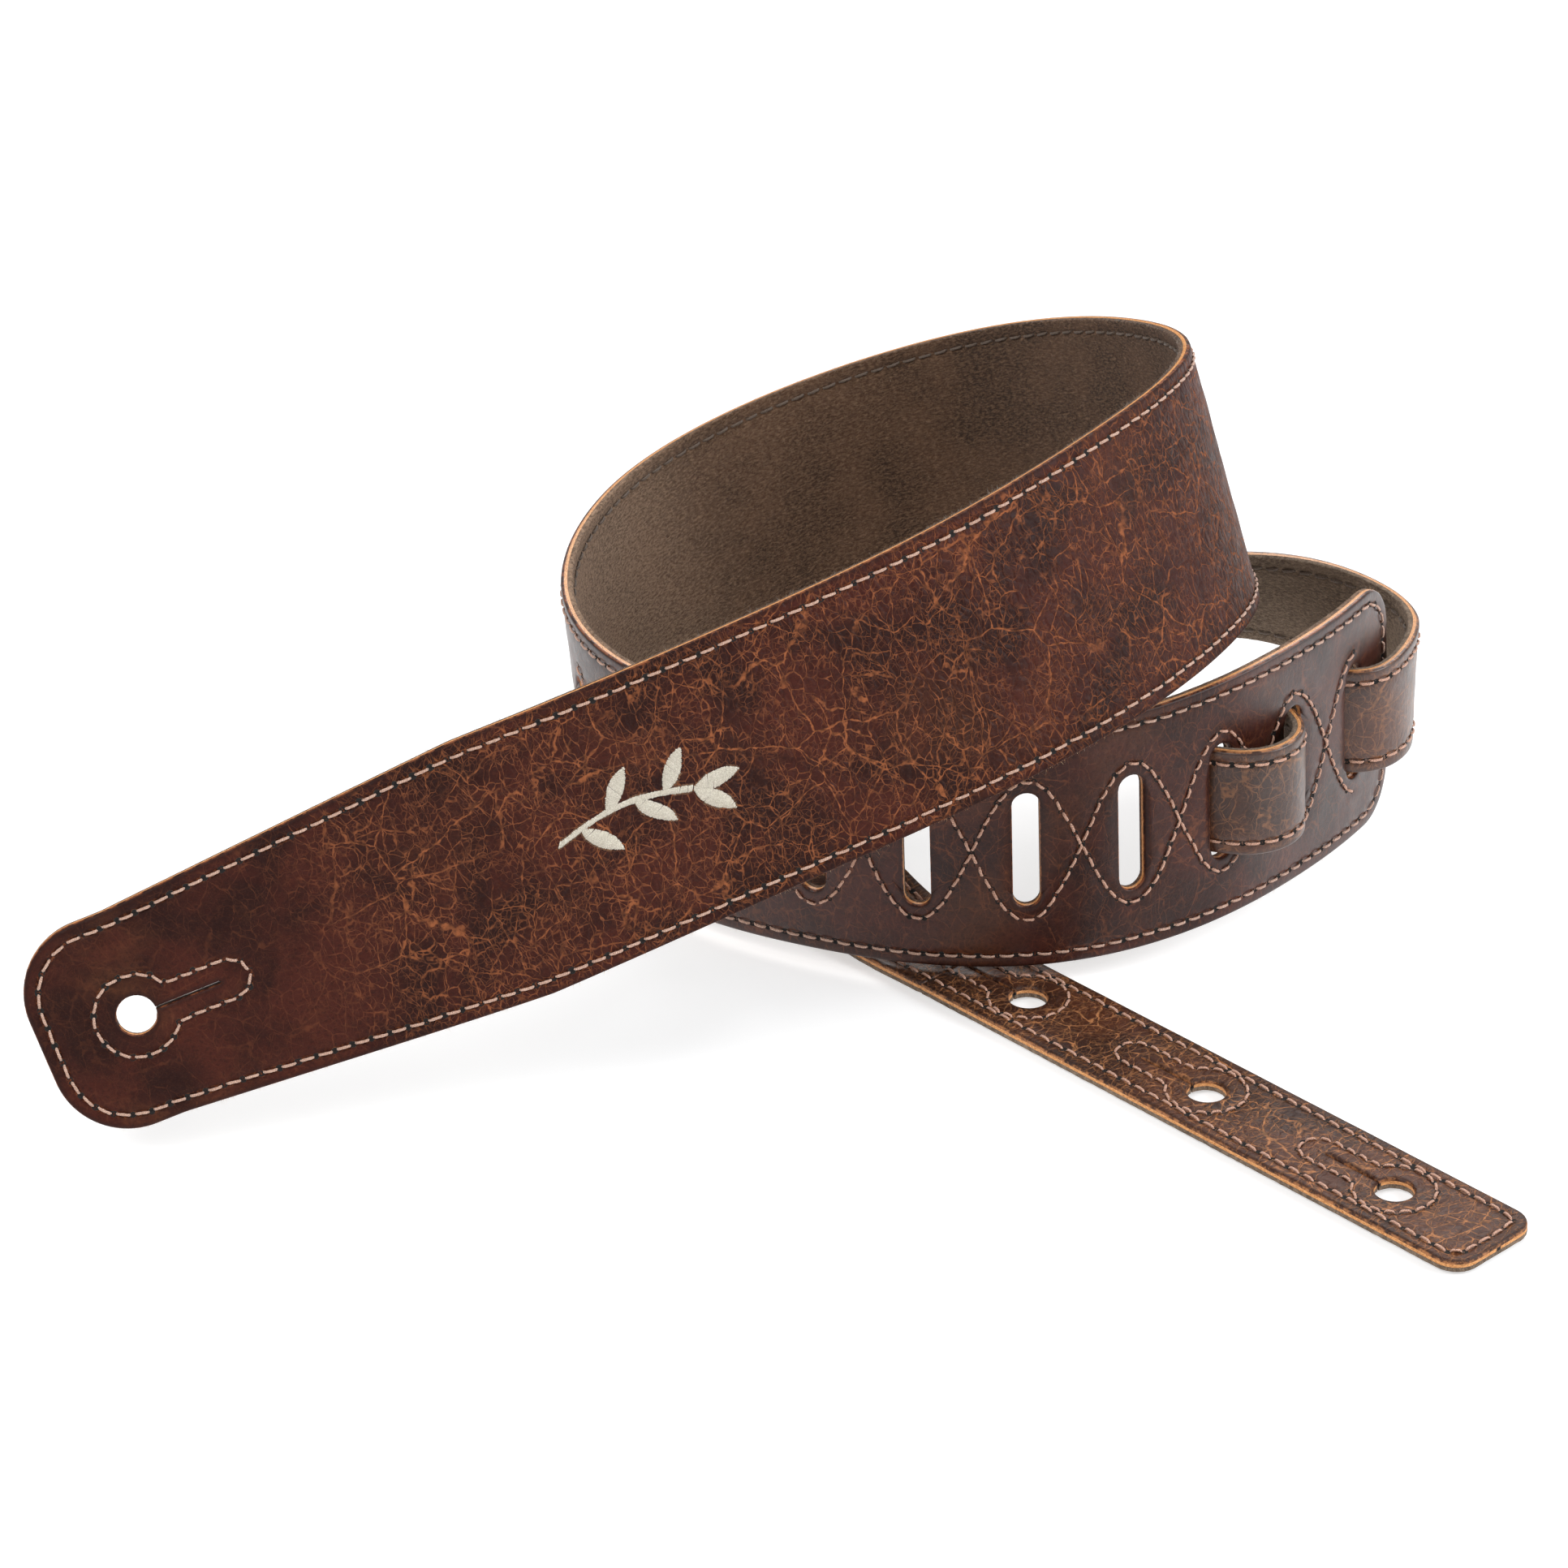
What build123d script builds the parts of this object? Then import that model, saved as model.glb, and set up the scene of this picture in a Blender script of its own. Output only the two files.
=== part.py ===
from build123d import *

import math
import os

# A leather guitar strap that lies coiled on a table. A wide band of face leather with a suede
# lining makes one and a half turns, standing on its edge. A narrow tail of the same two layers is
# laced through three upright slots near the band's end, goes round inside the coil, passes under
# the band and lies flat in front of it. Millimetres, +Z up.

# ---- driving dimensions -----------------------------------------------------------------------

FACE = 1.7                  # thickness of the face leather
LINING = 1.3                # thickness of the suede lining
STRAP_WIDTH = 62.0
STRAP_LENGTH = 847.2
TAIL_WIDTH = 27.0

TIP_LENGTH = 70.0           # flat rounded front end of the strap, as far as its bend line
TIP_WIDTH = 49.0            # where the front end is narrowest
TIP_TAPER = (25.0, 110.0)   # the strap widens between these two distances
TIP_CORNER = 17.0           # radius of the two front corners
TIP_SETBACK = 1.2           # the front edge, from the start of the middle line

HOLE_RADIUS = 4.5           # every button hole
HOLE_DISTANCE = 23.5        # front hole, from the start of the middle line
SLIT_REACH = 20.0           # from a hole's centre to the far end of its slit
SLIT_WIDTH = 0.5
TAIL_CORNER = 6.0

SLOT_COUNT = 10
SLOT_PITCH = 25.2
SLOT_LENGTH = 30.0
SLOT_WIDTH = 6.4
SLOT_MARGIN = 19.5          # last slot to the end of the strap
LACED_SLOT = 3              # the tail first comes out of the third slot from the end
LACING_ANGLE = 60.0         # between the tail and the band where it goes through a slot
END_CORNER = 14.0           # radius of the two corners at the strap's slotted end

THREAD = 0.7                # width of a stitched line
THREAD_RISE = 0.35          # how far it stands above the leather
SEAM_INSET = 3.2            # stitched line to the edge of the leather
KEYHOLE_RADIUS = 9.5        # stitched line round a button hole
KEYHOLE_SIDE = 4.6          # stitched line to the slit
KEYHOLE_REACH = 26.8        # from a hole's centre to the far end of its stitched line
WAVE_HEIGHT = 18.6          # wave stitching, either side of the middle line

SPRIG_START = 124.0         # embroidered sprig: the foot of its stem
SPRIG_LENGTH = 32.0
SPRIG_SWAY = 3.0            # how far the stem curves to one side
STEM_WIDTH = 1.4
LEAF_LENGTH = 11.0
LEAF_ARC = 8.5              # radius of a leaf's two edges
LEAF_ANGLE = 48.0           # between a leaf and the stem
LEAF_GAP = 7.0
SATIN_RISE = 0.45           # how far the satin stitches stand above the leather

SECTION_GAP = 7.5           # between two cross-sections of a strip
TIGHT_SECTION_GAP = 2.5     # the same where the tail goes through the slots
TIGHT_BENDS_END = 90.0      # along the tail, where its tight bends are over
SEAM_GAP = 4.2              # between two cross-sections of a stitched line
EDGE_INSET = 0.2            # the lining stands back from the edge of the face leather
TAIL_INNER_END = -17.0      # the tail starts behind the band, before it comes through a slot
TAIL_BEND_LINE = 416.0      # the tail's free end lies flat beyond this
TAIL_HOLES = (396.5, 452.5, 508.5)
TAIL_LENGTH = 538.5

# Where the strips go. Each row holds a distance along the strip, how fast it bends away from its
# grain side there, and how fast it twists, in degrees per 100 mm. Between rows both change evenly.
STRAP_START = (-162.0, -91.1, 26.8)
STRAP_HEADING = 11.1        # in plan, from +X
STRAP_CLIMB = 18.9
STRAP_LEAN = -18.0          # the top edge leans back from the grain side
STRAP_ROUTE = [
    (0, 0, 0),
    (70, 0, 0),
    (120, 14, 10),
    (180, 2, -2),
    (240, 55, -12),
    (290, 40, 13),
    (330, 98, 12),
    (370, 48, -8),
    (420, 82, -4),
    (480, 61, -4),
    (540, 80, -28),
    (580, 85, -11),
    (620, 99, -6),
    (670, 25, 0),
    (730, 86, -5),
    (800, 27, 1),
    (880, 65, -6),
]

# The tail's distances start where it first comes through a slot, and are negative behind it.
TAIL_ROUTE = [
    (-22, -250, 0),
    (-6, -250, 0),
    (0, 0, 0),
    (6, 463.4, 0),
    (28, 463.4, 0),
    (34, 0, 0),
    (40, -442.1, 0),
    (59.7, -442.1, 0),
    (65.7, 0, 0),
    (70.7, 781, -30.3),
    (77.7, 290.5, -22.5),
    (87.7, 134.4, 40.8),
    (100.7, 168.3, 63.9),
    (120.7, 138.2, -41.9),
    (145.7, 120, -67.5),
    (175.7, 133, 2.4),
    (205.7, -5, 48.4),
    (235.7, -57.3, 50.1),
    (265.7, 72.1, 7.2),
    (290.7, 276.5, -109.6),
    (315.7, 194.4, -232.9),
    (345.7, -106.1, -78.9),
    (377.7, 0, 0),
]


# ---- strips -----------------------------------------------------------------------------------

ORIGIN = (0, 0, 0)


def rates_at(table, distance):
    """How fast a strip bends and twists at a distance, in degrees per 100 mm."""
    for (start, bend, twist), (end, next_bend, next_twist) in zip(table, table[1:]):
        if distance <= end:
            share = max(0, (distance - start) / (end - start))
            return bend + share * (next_bend - bend), twist + share * (next_twist - twist)
    return table[-1][1:]


def onward(here, distance, rates):
    """The plane a short way further along a strip."""
    bend, twist = [rate * distance / 100 for rate in rates]
    bend_axis = Axis(ORIGIN, here.x_dir)
    halfway = here.z_dir.rotate(bend_axis, bend / 2)
    along = here.z_dir.rotate(bend_axis, bend)
    across = here.x_dir.rotate(Axis(ORIGIN, along), twist)
    return Plane(here.origin + halfway * distance, x_dir=across, z_dir=along)


class Strip:
    """A long strip. Its planes have x across it, y out of its grain side and z along it."""

    def __init__(self, start, table, first, last):
        self.table = table
        self.planes = {0: start}
        for mark in range(math.ceil(last)):
            self.planes[mark + 1] = onward(self.planes[mark], 1, rates_at(table, mark + 0.5))
        for mark in range(0, math.floor(first), -1):
            self.planes[mark - 1] = onward(self.planes[mark], -1, rates_at(table, mark - 0.5))

    def at(self, distance):
        mark = math.floor(distance)
        return onward(self.planes[mark], distance - mark, rates_at(self.table, distance))

    def point(self, distance, across, out):
        here = self.at(distance)
        return here.origin + here.x_dir * across + here.y_dir * out

    def lying(self, distance, across=0, out=0):
        """A plane that lies on the strip: x along it, y across it and z out of its grain side."""
        here = self.at(distance)
        return Plane(self.point(distance, across, out), x_dir=here.z_dir, z_dir=here.y_dir)


def marks(first, last, gap):
    """Even steps from first to last, no longer than the gap."""
    count = math.ceil(abs(last - first) / gap)
    return [first + (last - first) * number / count for number in range(count + 1)]


def band(strip, distances, half_width_at, inset, low, high):
    """Cross-sections of a layer, from low to high above the glue line."""
    sections = []
    for distance in distances:
        with BuildSketch(strip.at(distance)) as face:
            with Locations((0, (low + high) / 2)):
                Rectangle(2 * (half_width_at(distance) - inset), high - low)
        sections.append(face.sketch)
    return sections


def seam(strip, path, low, width=THREAD):
    """Cross-sections of a stitched line. The path holds (distance, across) pairs."""
    places = [strip.point(distance, across, low) for distance, across in path]
    sections = []
    for number, (distance, across) in enumerate(path):
        ahead = places[min(number + 1, len(places) - 1)]
        behind = places[max(number - 1, 0)]
        out = strip.at(distance).y_dir
        with BuildSketch(Plane(places[number], x_dir=out, z_dir=ahead - behind)) as face:
            with Locations((THREAD_RISE / 2, 0)):
                Rectangle(THREAD_RISE, width)
        sections.append(face.sketch)
    return sections


def keyhole(grow):
    """The outline of the stitched line round a button hole and its slit, grown by a little."""
    side = KEYHOLE_SIDE + grow
    reach = KEYHOLE_REACH - KEYHOLE_SIDE
    with BuildSketch() as outline:
        Circle(KEYHOLE_RADIUS + grow)
        with Locations((reach / 2, 0)):
            Rectangle(reach, 2 * side)
        with Locations((reach, 0)):
            Circle(side)
    return outline.sketch


def keyhole_line():
    return keyhole(THREAD / 2) - keyhole(-THREAD / 2)


def button_hole():
    """A round hole with the slit that lets the button's head through."""
    with BuildSketch() as outline:
        Circle(HOLE_RADIUS)
        with Locations((SLIT_REACH / 2, 0)):
            Rectangle(SLIT_REACH, SLIT_WIDTH)
    return outline.sketch


def edge_path(first, last, half_width_at, corner):
    """The stitched line up one edge of a strip, round its square end and back down the other."""
    forward = math.copysign(1, last - first)
    centre = last - forward * corner
    radius = corner - SEAM_INSET
    upper = [(distance, half_width_at(distance) - SEAM_INSET) for distance in marks(first, centre, SEAM_GAP)]
    for angle in (30, 60, 90):
        ahead = forward * radius * math.sin(math.radians(angle))
        aside = half_width_at(centre) - corner + radius * math.cos(math.radians(angle))
        upper.append((centre + ahead, aside))
    return upper + [(distance, -across) for distance, across in reversed(upper)]


def laid(sketch, plane, low, high):
    """A solid made from a flat sketch, laid on a plane, from low to high above it."""
    return extrude(plane.offset(low) * sketch, amount=high - low, dir=plane.z_dir)


def finish(part, name):
    """Name a finished piece and write it out."""
    part.label = name
    export_step(part, f"parts/{name}.step")


def strap_half_width(distance):
    start, end = TIP_TAPER
    share = min(1, max(0, (distance - start) / (end - start)))
    return (TIP_WIDTH + share * (STRAP_WIDTH - TIP_WIDTH)) / 2


def tail_half_width(distance):
    return TAIL_WIDTH / 2


os.makedirs("parts", exist_ok=True)

along = Vector(1, 0, 0).rotate(Axis.Y, -STRAP_CLIMB).rotate(Axis.Z, STRAP_HEADING)
upright = Vector(0, 0, 1).rotate(Axis.Y, -STRAP_CLIMB).rotate(Axis.Z, STRAP_HEADING)
leaning = upright.rotate(Axis(ORIGIN, along), STRAP_LEAN)
strap = Strip(Plane(STRAP_START, x_dir=leaning, z_dir=along), STRAP_ROUTE, 0, STRAP_LENGTH)

slots = [STRAP_LENGTH - SLOT_MARGIN - number * SLOT_PITCH for number in range(SLOT_COUNT)]
laced = strap.at(slots[LACED_SLOT - 1])
outward = laced.z_dir.rotate(Axis(ORIGIN, laced.x_dir), -LACING_ANGLE)
tail_start = Plane(laced.origin, x_dir=laced.x_dir, z_dir=outward)
tail = Strip(tail_start, TAIL_ROUTE, TAIL_INNER_END, TAIL_LENGTH)

tip_plane = strap.lying(0)
end_plane = tail.lying(TAIL_BEND_LINE)

# ---- strap: face leather and lining with the slots ---------------------------------------------

strap_marks = marks(TIP_LENGTH, STRAP_LENGTH, SECTION_GAP)


def slot_cutters():
    """One upright slot for each of the strap's slot places."""
    with BuildSketch() as slot:
        SlotOverall(SLOT_LENGTH, SLOT_WIDTH, rotation=90)
    return [laid(slot.sketch, strap.lying(distance), -2 * LINING, 2 * FACE) for distance in slots]


def end_cutters():
    """Waste at the two corners of the strap's slotted end."""
    cutters = []
    for side in (1, -1):
        centre = strap.lying(STRAP_LENGTH - END_CORNER, side * (STRAP_WIDTH / 2 - END_CORNER))
        with BuildSketch() as waste:
            with Locations((END_CORNER, side * END_CORNER)):
                Rectangle(2 * END_CORNER, 2 * END_CORNER)
            Circle(END_CORNER, mode=Mode.SUBTRACT)
        cutters.append(laid(waste.sketch, centre, -3 * LINING, 3 * FACE))
    return cutters


with BuildPart() as strap_face_leather:
    loft(band(strap, strap_marks, strap_half_width, 0, 0, FACE), ruled=True, clean=False)
    add(slot_cutters() + end_cutters(), mode=Mode.SUBTRACT)
finish(strap_face_leather.part, "strap_face_leather")

with BuildPart() as strap_suede_lining:
    loft(band(strap, strap_marks, strap_half_width, EDGE_INSET, -LINING, 0), ruled=True, clean=False)
    add(slot_cutters() + end_cutters(), mode=Mode.SUBTRACT)
finish(strap_suede_lining.part, "strap_suede_lining")


# ---- strap: stitched lines and the embroidered sprig -------------------------------------------

strap_edge = edge_path(TIP_LENGTH, STRAP_LENGTH, strap_half_width, END_CORNER)

with BuildPart() as strap_edge_stitching:
    loft(seam(strap, strap_edge, FACE), ruled=True, clean=False)
finish(strap_edge_stitching.part, "strap_edge_stitching")

with BuildPart() as strap_edge_bobbin_thread:
    loft(seam(strap, strap_edge, -LINING), ruled=True, clean=False)
finish(strap_edge_bobbin_thread.part, "strap_edge_bobbin_thread")


def wave_path(side):
    """A wave that passes over one slot and under the next."""
    first, last = slots[-1], slots[0]
    return [(distance, side * WAVE_HEIGHT * math.cos(math.pi * (distance - first) / SLOT_PITCH))
            for distance in marks(first, last, SEAM_GAP)]


for name, side in (("slot_wave_stitching_a", 1), ("slot_wave_stitching_b", -1)):
    with BuildPart() as slot_wave_stitching:
        loft(seam(strap, wave_path(side), FACE), ruled=True, clean=False)
    finish(slot_wave_stitching.part, name)


def leaf():
    """A pointed leaf that grows from the origin along x."""
    with BuildSketch() as outline:
        with BuildLine():
            RadiusArc((0, 0), (LEAF_LENGTH, 0), LEAF_ARC)
            RadiusArc((LEAF_LENGTH, 0), (0, 0), LEAF_ARC)
        make_face()
    return outline.sketch


def sprig_stem(distance):
    """The stem's gentle sideways curve."""
    return SPRIG_SWAY * math.sin(math.pi * (distance - SPRIG_START) / SPRIG_LENGTH)


with BuildPart() as embroidered_sprig:
    stem = [(distance, sprig_stem(distance))
            for distance in marks(SPRIG_START, SPRIG_START + SPRIG_LENGTH, SEAM_GAP)]
    loft(seam(strap, stem, FACE, STEM_WIDTH), ruled=True, clean=False)
    for number, distance in enumerate(marks(SPRIG_START + LEAF_LENGTH / 2, stem[-1][0], LEAF_GAP)):
        turn = LEAF_ANGLE * (1 if number % 2 else -1)
        foot = strap.lying(distance, sprig_stem(distance))
        add(laid(Rot(0, 0, turn) * leaf(), foot, FACE, FACE + SATIN_RISE))
    add(laid(leaf(), strap.lying(*stem[-1]), FACE, FACE + SATIN_RISE))
finish(embroidered_sprig.part, "embroidered_sprig")

# ---- front tip: flat, rounded, with the front button hole --------------------------------------


def tip_outline(inset):
    """The tip seen from its grain side, drawn in by an inset."""
    waist = TIP_TAPER[0]
    with BuildSketch() as outline:
        with BuildLine():
            Polyline((TIP_SETBACK + inset, 0), (TIP_SETBACK + inset, strap_half_width(0) - inset),
                     (waist, strap_half_width(waist) - inset),
                     (TIP_LENGTH, strap_half_width(TIP_LENGTH) - inset), (TIP_LENGTH, 0), close=True)
        make_face()
        mirror(about=Plane.XZ)
        fillet(outline.vertices().group_by(Axis.X)[0], TIP_CORNER - inset)
    return outline.sketch


front_hole = Pos(HOLE_DISTANCE, 0)

with BuildPart() as front_tip_face_leather:
    add(laid(tip_outline(0) - front_hole * button_hole(), tip_plane, 0, FACE))
finish(front_tip_face_leather.part, "front_tip_face_leather")

with BuildPart() as front_tip_suede_lining:
    add(laid(tip_outline(EDGE_INSET) - front_hole * button_hole(), tip_plane, -LINING, 0))
finish(front_tip_suede_lining.part, "front_tip_suede_lining")

tip_line = tip_outline(SEAM_INSET - THREAD / 2) - tip_outline(SEAM_INSET + THREAD / 2)

with BuildPart() as front_tip_edge_stitching:
    add(laid(tip_line, tip_plane, FACE, FACE + THREAD_RISE))
finish(front_tip_edge_stitching.part, "front_tip_edge_stitching")

with BuildPart() as front_button_hole_stitching:
    add(laid(front_hole * keyhole_line(), tip_plane, FACE, FACE + THREAD_RISE))
finish(front_button_hole_stitching.part, "front_button_hole_stitching")

with BuildPart() as front_tip_bobbin_thread:
    add(laid(tip_line, tip_plane, -LINING, THREAD_RISE - LINING))
    add(laid(front_hole * keyhole_line(), tip_plane, -LINING, THREAD_RISE - LINING))
finish(front_tip_bobbin_thread.part, "front_tip_bobbin_thread")

# ---- tail: the laced part, as far as its bend line ---------------------------------------------

tail_spans = [marks(TAIL_INNER_END, TIGHT_BENDS_END, TIGHT_SECTION_GAP),
              marks(TIGHT_BENDS_END, TAIL_BEND_LINE, SECTION_GAP)]


def tail_hole(distance):
    """A button hole in the tail. Its slit points away from the tail's free end."""
    return Pos(distance - TAIL_BEND_LINE, 0) * Rot(0, 0, 180) * button_hole()


def tail_hole_line(distance):
    return Pos(distance - TAIL_BEND_LINE, 0) * Rot(0, 0, 180) * keyhole_line()


inner_hole, middle_hole, outer_hole = TAIL_HOLES

with BuildPart() as tail_face_leather:
    for span in tail_spans:
        loft(band(tail, span, tail_half_width, 0, 0, FACE), ruled=True, clean=False)
    add(laid(tail_hole(inner_hole), end_plane, -FACE, 2 * FACE), mode=Mode.SUBTRACT)
finish(tail_face_leather.part, "tail_face_leather")

with BuildPart() as tail_suede_lining:
    for span in tail_spans:
        loft(band(tail, span, tail_half_width, EDGE_INSET, -LINING, 0), ruled=True, clean=False)
    add(laid(tail_hole(inner_hole), end_plane, -2 * LINING, LINING), mode=Mode.SUBTRACT)
finish(tail_suede_lining.part, "tail_suede_lining")

tail_edge = edge_path(TAIL_BEND_LINE, TAIL_INNER_END, tail_half_width, TAIL_CORNER)

with BuildPart() as tail_edge_stitching:
    loft(seam(tail, tail_edge, FACE), ruled=True, clean=False)
finish(tail_edge_stitching.part, "tail_edge_stitching")

with BuildPart() as tail_edge_bobbin_thread:
    loft(seam(tail, tail_edge, -LINING), ruled=True, clean=False)
finish(tail_edge_bobbin_thread.part, "tail_edge_bobbin_thread")

with BuildPart() as tail_button_hole_stitching_1:
    add(laid(tail_hole_line(inner_hole), end_plane, FACE, FACE + THREAD_RISE))
finish(tail_button_hole_stitching_1.part, "tail_button_hole_stitching_1")

# ---- tail: the free end, flat on the table -----------------------------------------------------


def end_outline(inset):
    """The tail's free end seen from its grain side, drawn in by an inset."""
    length = TAIL_LENGTH - TAIL_BEND_LINE - inset
    with BuildSketch() as outline:
        with Locations((length / 2, 0)):
            Rectangle(length, TAIL_WIDTH - 2 * inset)
        fillet(outline.vertices().group_by(Axis.X)[-1], TAIL_CORNER - inset)
    return outline.sketch


end_holes = Sketch() + [tail_hole(middle_hole), tail_hole(outer_hole)]

with BuildPart() as tail_end_face_leather:
    add(laid(end_outline(0) - end_holes, end_plane, 0, FACE))
finish(tail_end_face_leather.part, "tail_end_face_leather")

with BuildPart() as tail_end_suede_lining:
    add(laid(end_outline(EDGE_INSET) - end_holes, end_plane, -LINING, 0))
finish(tail_end_suede_lining.part, "tail_end_suede_lining")

end_line = end_outline(SEAM_INSET - THREAD / 2) - end_outline(SEAM_INSET + THREAD / 2)

with BuildPart() as tail_end_edge_stitching:
    add(laid(end_line, end_plane, FACE, FACE + THREAD_RISE))
finish(tail_end_edge_stitching.part, "tail_end_edge_stitching")

for name, distance in (("tail_button_hole_stitching_2", middle_hole),
                       ("tail_button_hole_stitching_3", outer_hole)):
    with BuildPart() as tail_button_hole_stitching:
        add(laid(tail_hole_line(distance), end_plane, FACE, FACE + THREAD_RISE))
    finish(tail_button_hole_stitching.part, name)

with BuildPart() as tail_end_bobbin_thread:
    add(laid(end_line, end_plane, -LINING, THREAD_RISE - LINING))
    for distance in (middle_hole, outer_hole):
        add(laid(tail_hole_line(distance), end_plane, -LINING, THREAD_RISE - LINING))
finish(tail_end_bobbin_thread.part, "tail_end_bobbin_thread")
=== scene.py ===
"""The looks of a coiled leather guitar strap: crackled face leather, suede lining, sewn threads."""

import math

import bpy
import numpy as np
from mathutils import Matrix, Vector
from mathutils.geometry import delaunay_2d_cdt
from mathutils.kdtree import KDTree


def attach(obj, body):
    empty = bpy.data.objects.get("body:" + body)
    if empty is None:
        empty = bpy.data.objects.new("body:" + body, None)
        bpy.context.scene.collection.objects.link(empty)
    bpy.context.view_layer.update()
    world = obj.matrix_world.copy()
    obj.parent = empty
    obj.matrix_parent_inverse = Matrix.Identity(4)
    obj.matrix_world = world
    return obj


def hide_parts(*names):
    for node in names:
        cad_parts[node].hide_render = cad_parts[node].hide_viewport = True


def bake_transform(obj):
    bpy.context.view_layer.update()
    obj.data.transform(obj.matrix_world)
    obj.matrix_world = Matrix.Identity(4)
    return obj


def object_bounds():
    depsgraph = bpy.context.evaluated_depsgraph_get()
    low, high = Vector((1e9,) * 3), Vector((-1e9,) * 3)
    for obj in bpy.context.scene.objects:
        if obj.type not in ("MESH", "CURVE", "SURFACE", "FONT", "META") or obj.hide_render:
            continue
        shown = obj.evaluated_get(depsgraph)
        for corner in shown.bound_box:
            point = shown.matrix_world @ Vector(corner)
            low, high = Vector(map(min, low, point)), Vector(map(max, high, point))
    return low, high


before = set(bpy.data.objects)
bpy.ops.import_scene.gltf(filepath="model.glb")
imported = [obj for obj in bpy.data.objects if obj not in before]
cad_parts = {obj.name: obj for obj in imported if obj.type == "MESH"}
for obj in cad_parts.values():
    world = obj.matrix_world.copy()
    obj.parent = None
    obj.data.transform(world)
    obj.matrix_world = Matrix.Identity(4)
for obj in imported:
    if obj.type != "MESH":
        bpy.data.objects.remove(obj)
cad_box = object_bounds()

# ---- sizes, in millimetres, the same as the solids' --------------------------------------------

FACE = 1.7
LINING = 1.3
STRAP_LENGTH = 847.2
STRAP_WIDTH = 62.0
TIP_WIDTH = 49.0
TIP_TAPER = (25.0, 110.0)
TIP_CORNER = 17.0
TIP_SETBACK = 1.2
END_CORNER = 14.0
TAIL_WIDTH = 27.0
TAIL_CORNER = 6.0
TAIL_INNER_END = -17.0
TAIL_SPLIT = 375.0          # where the tail passes under the band
TAIL_LENGTH = 538.5
TAIL_HOLES = (396.5, 452.5, 508.5)
HOLE_RADIUS = 4.5
HOLE_DISTANCE = 23.5
SLIT_REACH = 20.0
SLOT_COUNT = 10
SLOT_PITCH = 25.2
SLOT_LENGTH = 30.0
SLOT_WIDTH = 6.4
SLOT_MARGIN = 19.5
LACED_SLOT = 3
LACING_ANGLE = 60.0
SEAM_INSET = 3.2
KEYHOLE_RADIUS = 9.5
KEYHOLE_SIDE = 4.6
KEYHOLE_REACH = 26.8
WAVE_HEIGHT = 18.6
SPRIG_START = 124.0
SPRIG_LENGTH = 32.0
SPRIG_SWAY = 3.0
LEAF_LENGTH = 11.0
LEAF_ARC = 8.5
LEAF_ANGLE = 48.0
LEAF_GAP = 7.0
TIP_BEND = 70.0             # the middles of the two stretches passed on as flex
TAIL_BEND = 416.0
TIP_BEND_REACH = 14.0       # how far each stretch reaches, either side of those middles
TAIL_BEND_REACH = 12.0

STITCH = 4.25               # from one needle hole to the next
KEYHOLE_STITCH = 3.6
THREAD_RADIUS = 0.33
MESH_GAP = 1.5              # between the points of a leather surface
EDGE_GAP = 1.3
EDGE_ROLL = 0.75            # radius of the leather's rounded upper edge
SUEDE_ROLL = 0.45
HALF_SLIT = 0.22
SQUARE_CORNER = 1.0         # a strip's end that is only just rounded
CUT_CORNER = 0.1            # the same where two pieces of the tail meet
RIM_RINGS = (0.15, 0.4, 0.8, 1.5, 2.3, 2.8, 3.2, 3.6, 4.1)      # mesh rows along an outer edge
HOLE_RINGS = (0.15, 0.4, 0.8, 1.4)                              # and round a hole

STRAP_START = (-162.0, -91.1, 26.8)
STRAP_HEADING = 11.1
STRAP_CLIMB = 18.9
STRAP_LEAN = -18.0
STRAP_ROUTE = [
    (0, 0, 0), (70, 0, 0), (120, 14, 10), (180, 2, -2), (240, 55, -12), (290, 40, 13),
    (330, 98, 12), (370, 48, -8), (420, 82, -4), (480, 61, -4), (540, 80, -28), (580, 85, -11),
    (620, 99, -6), (670, 25, 0), (730, 86, -5), (800, 27, 1), (880, 65, -6),
]
TAIL_ROUTE = [
    (-22, -250, 0), (-6, -250, 0), (0, 0, 0), (6, 463.4, 0), (28, 463.4, 0), (34, 0, 0),
    (40, -442.1, 0), (59.7, -442.1, 0), (65.7, 0, 0),
    (70.7, 781, -30.3), (77.7, 290.5, -22.5), (87.7, 134.4, 40.8), (100.7, 168.3, 63.9),
    (120.7, 138.2, -41.9), (145.7, 120, -67.5), (175.7, 133, 2.4), (205.7, -5, 48.4),
    (235.7, -57.3, 50.1), (265.7, 72.1, 7.2), (290.7, 276.5, -109.6), (315.7, 194.4, -232.9),
    (345.7, -106.1, -78.9), (377.7, 0, 0),
]

rng = np.random.default_rng(11)

# ---- strips: from a distance along, a place across and a height to a point in the room ---------


def turned(vector, axis, degrees):
    angle = math.radians(degrees)
    axis = axis / np.linalg.norm(axis)
    return (vector * math.cos(angle) + np.cross(axis, vector) * math.sin(angle)
            + axis * (axis @ vector) * (1 - math.cos(angle)))


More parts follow.
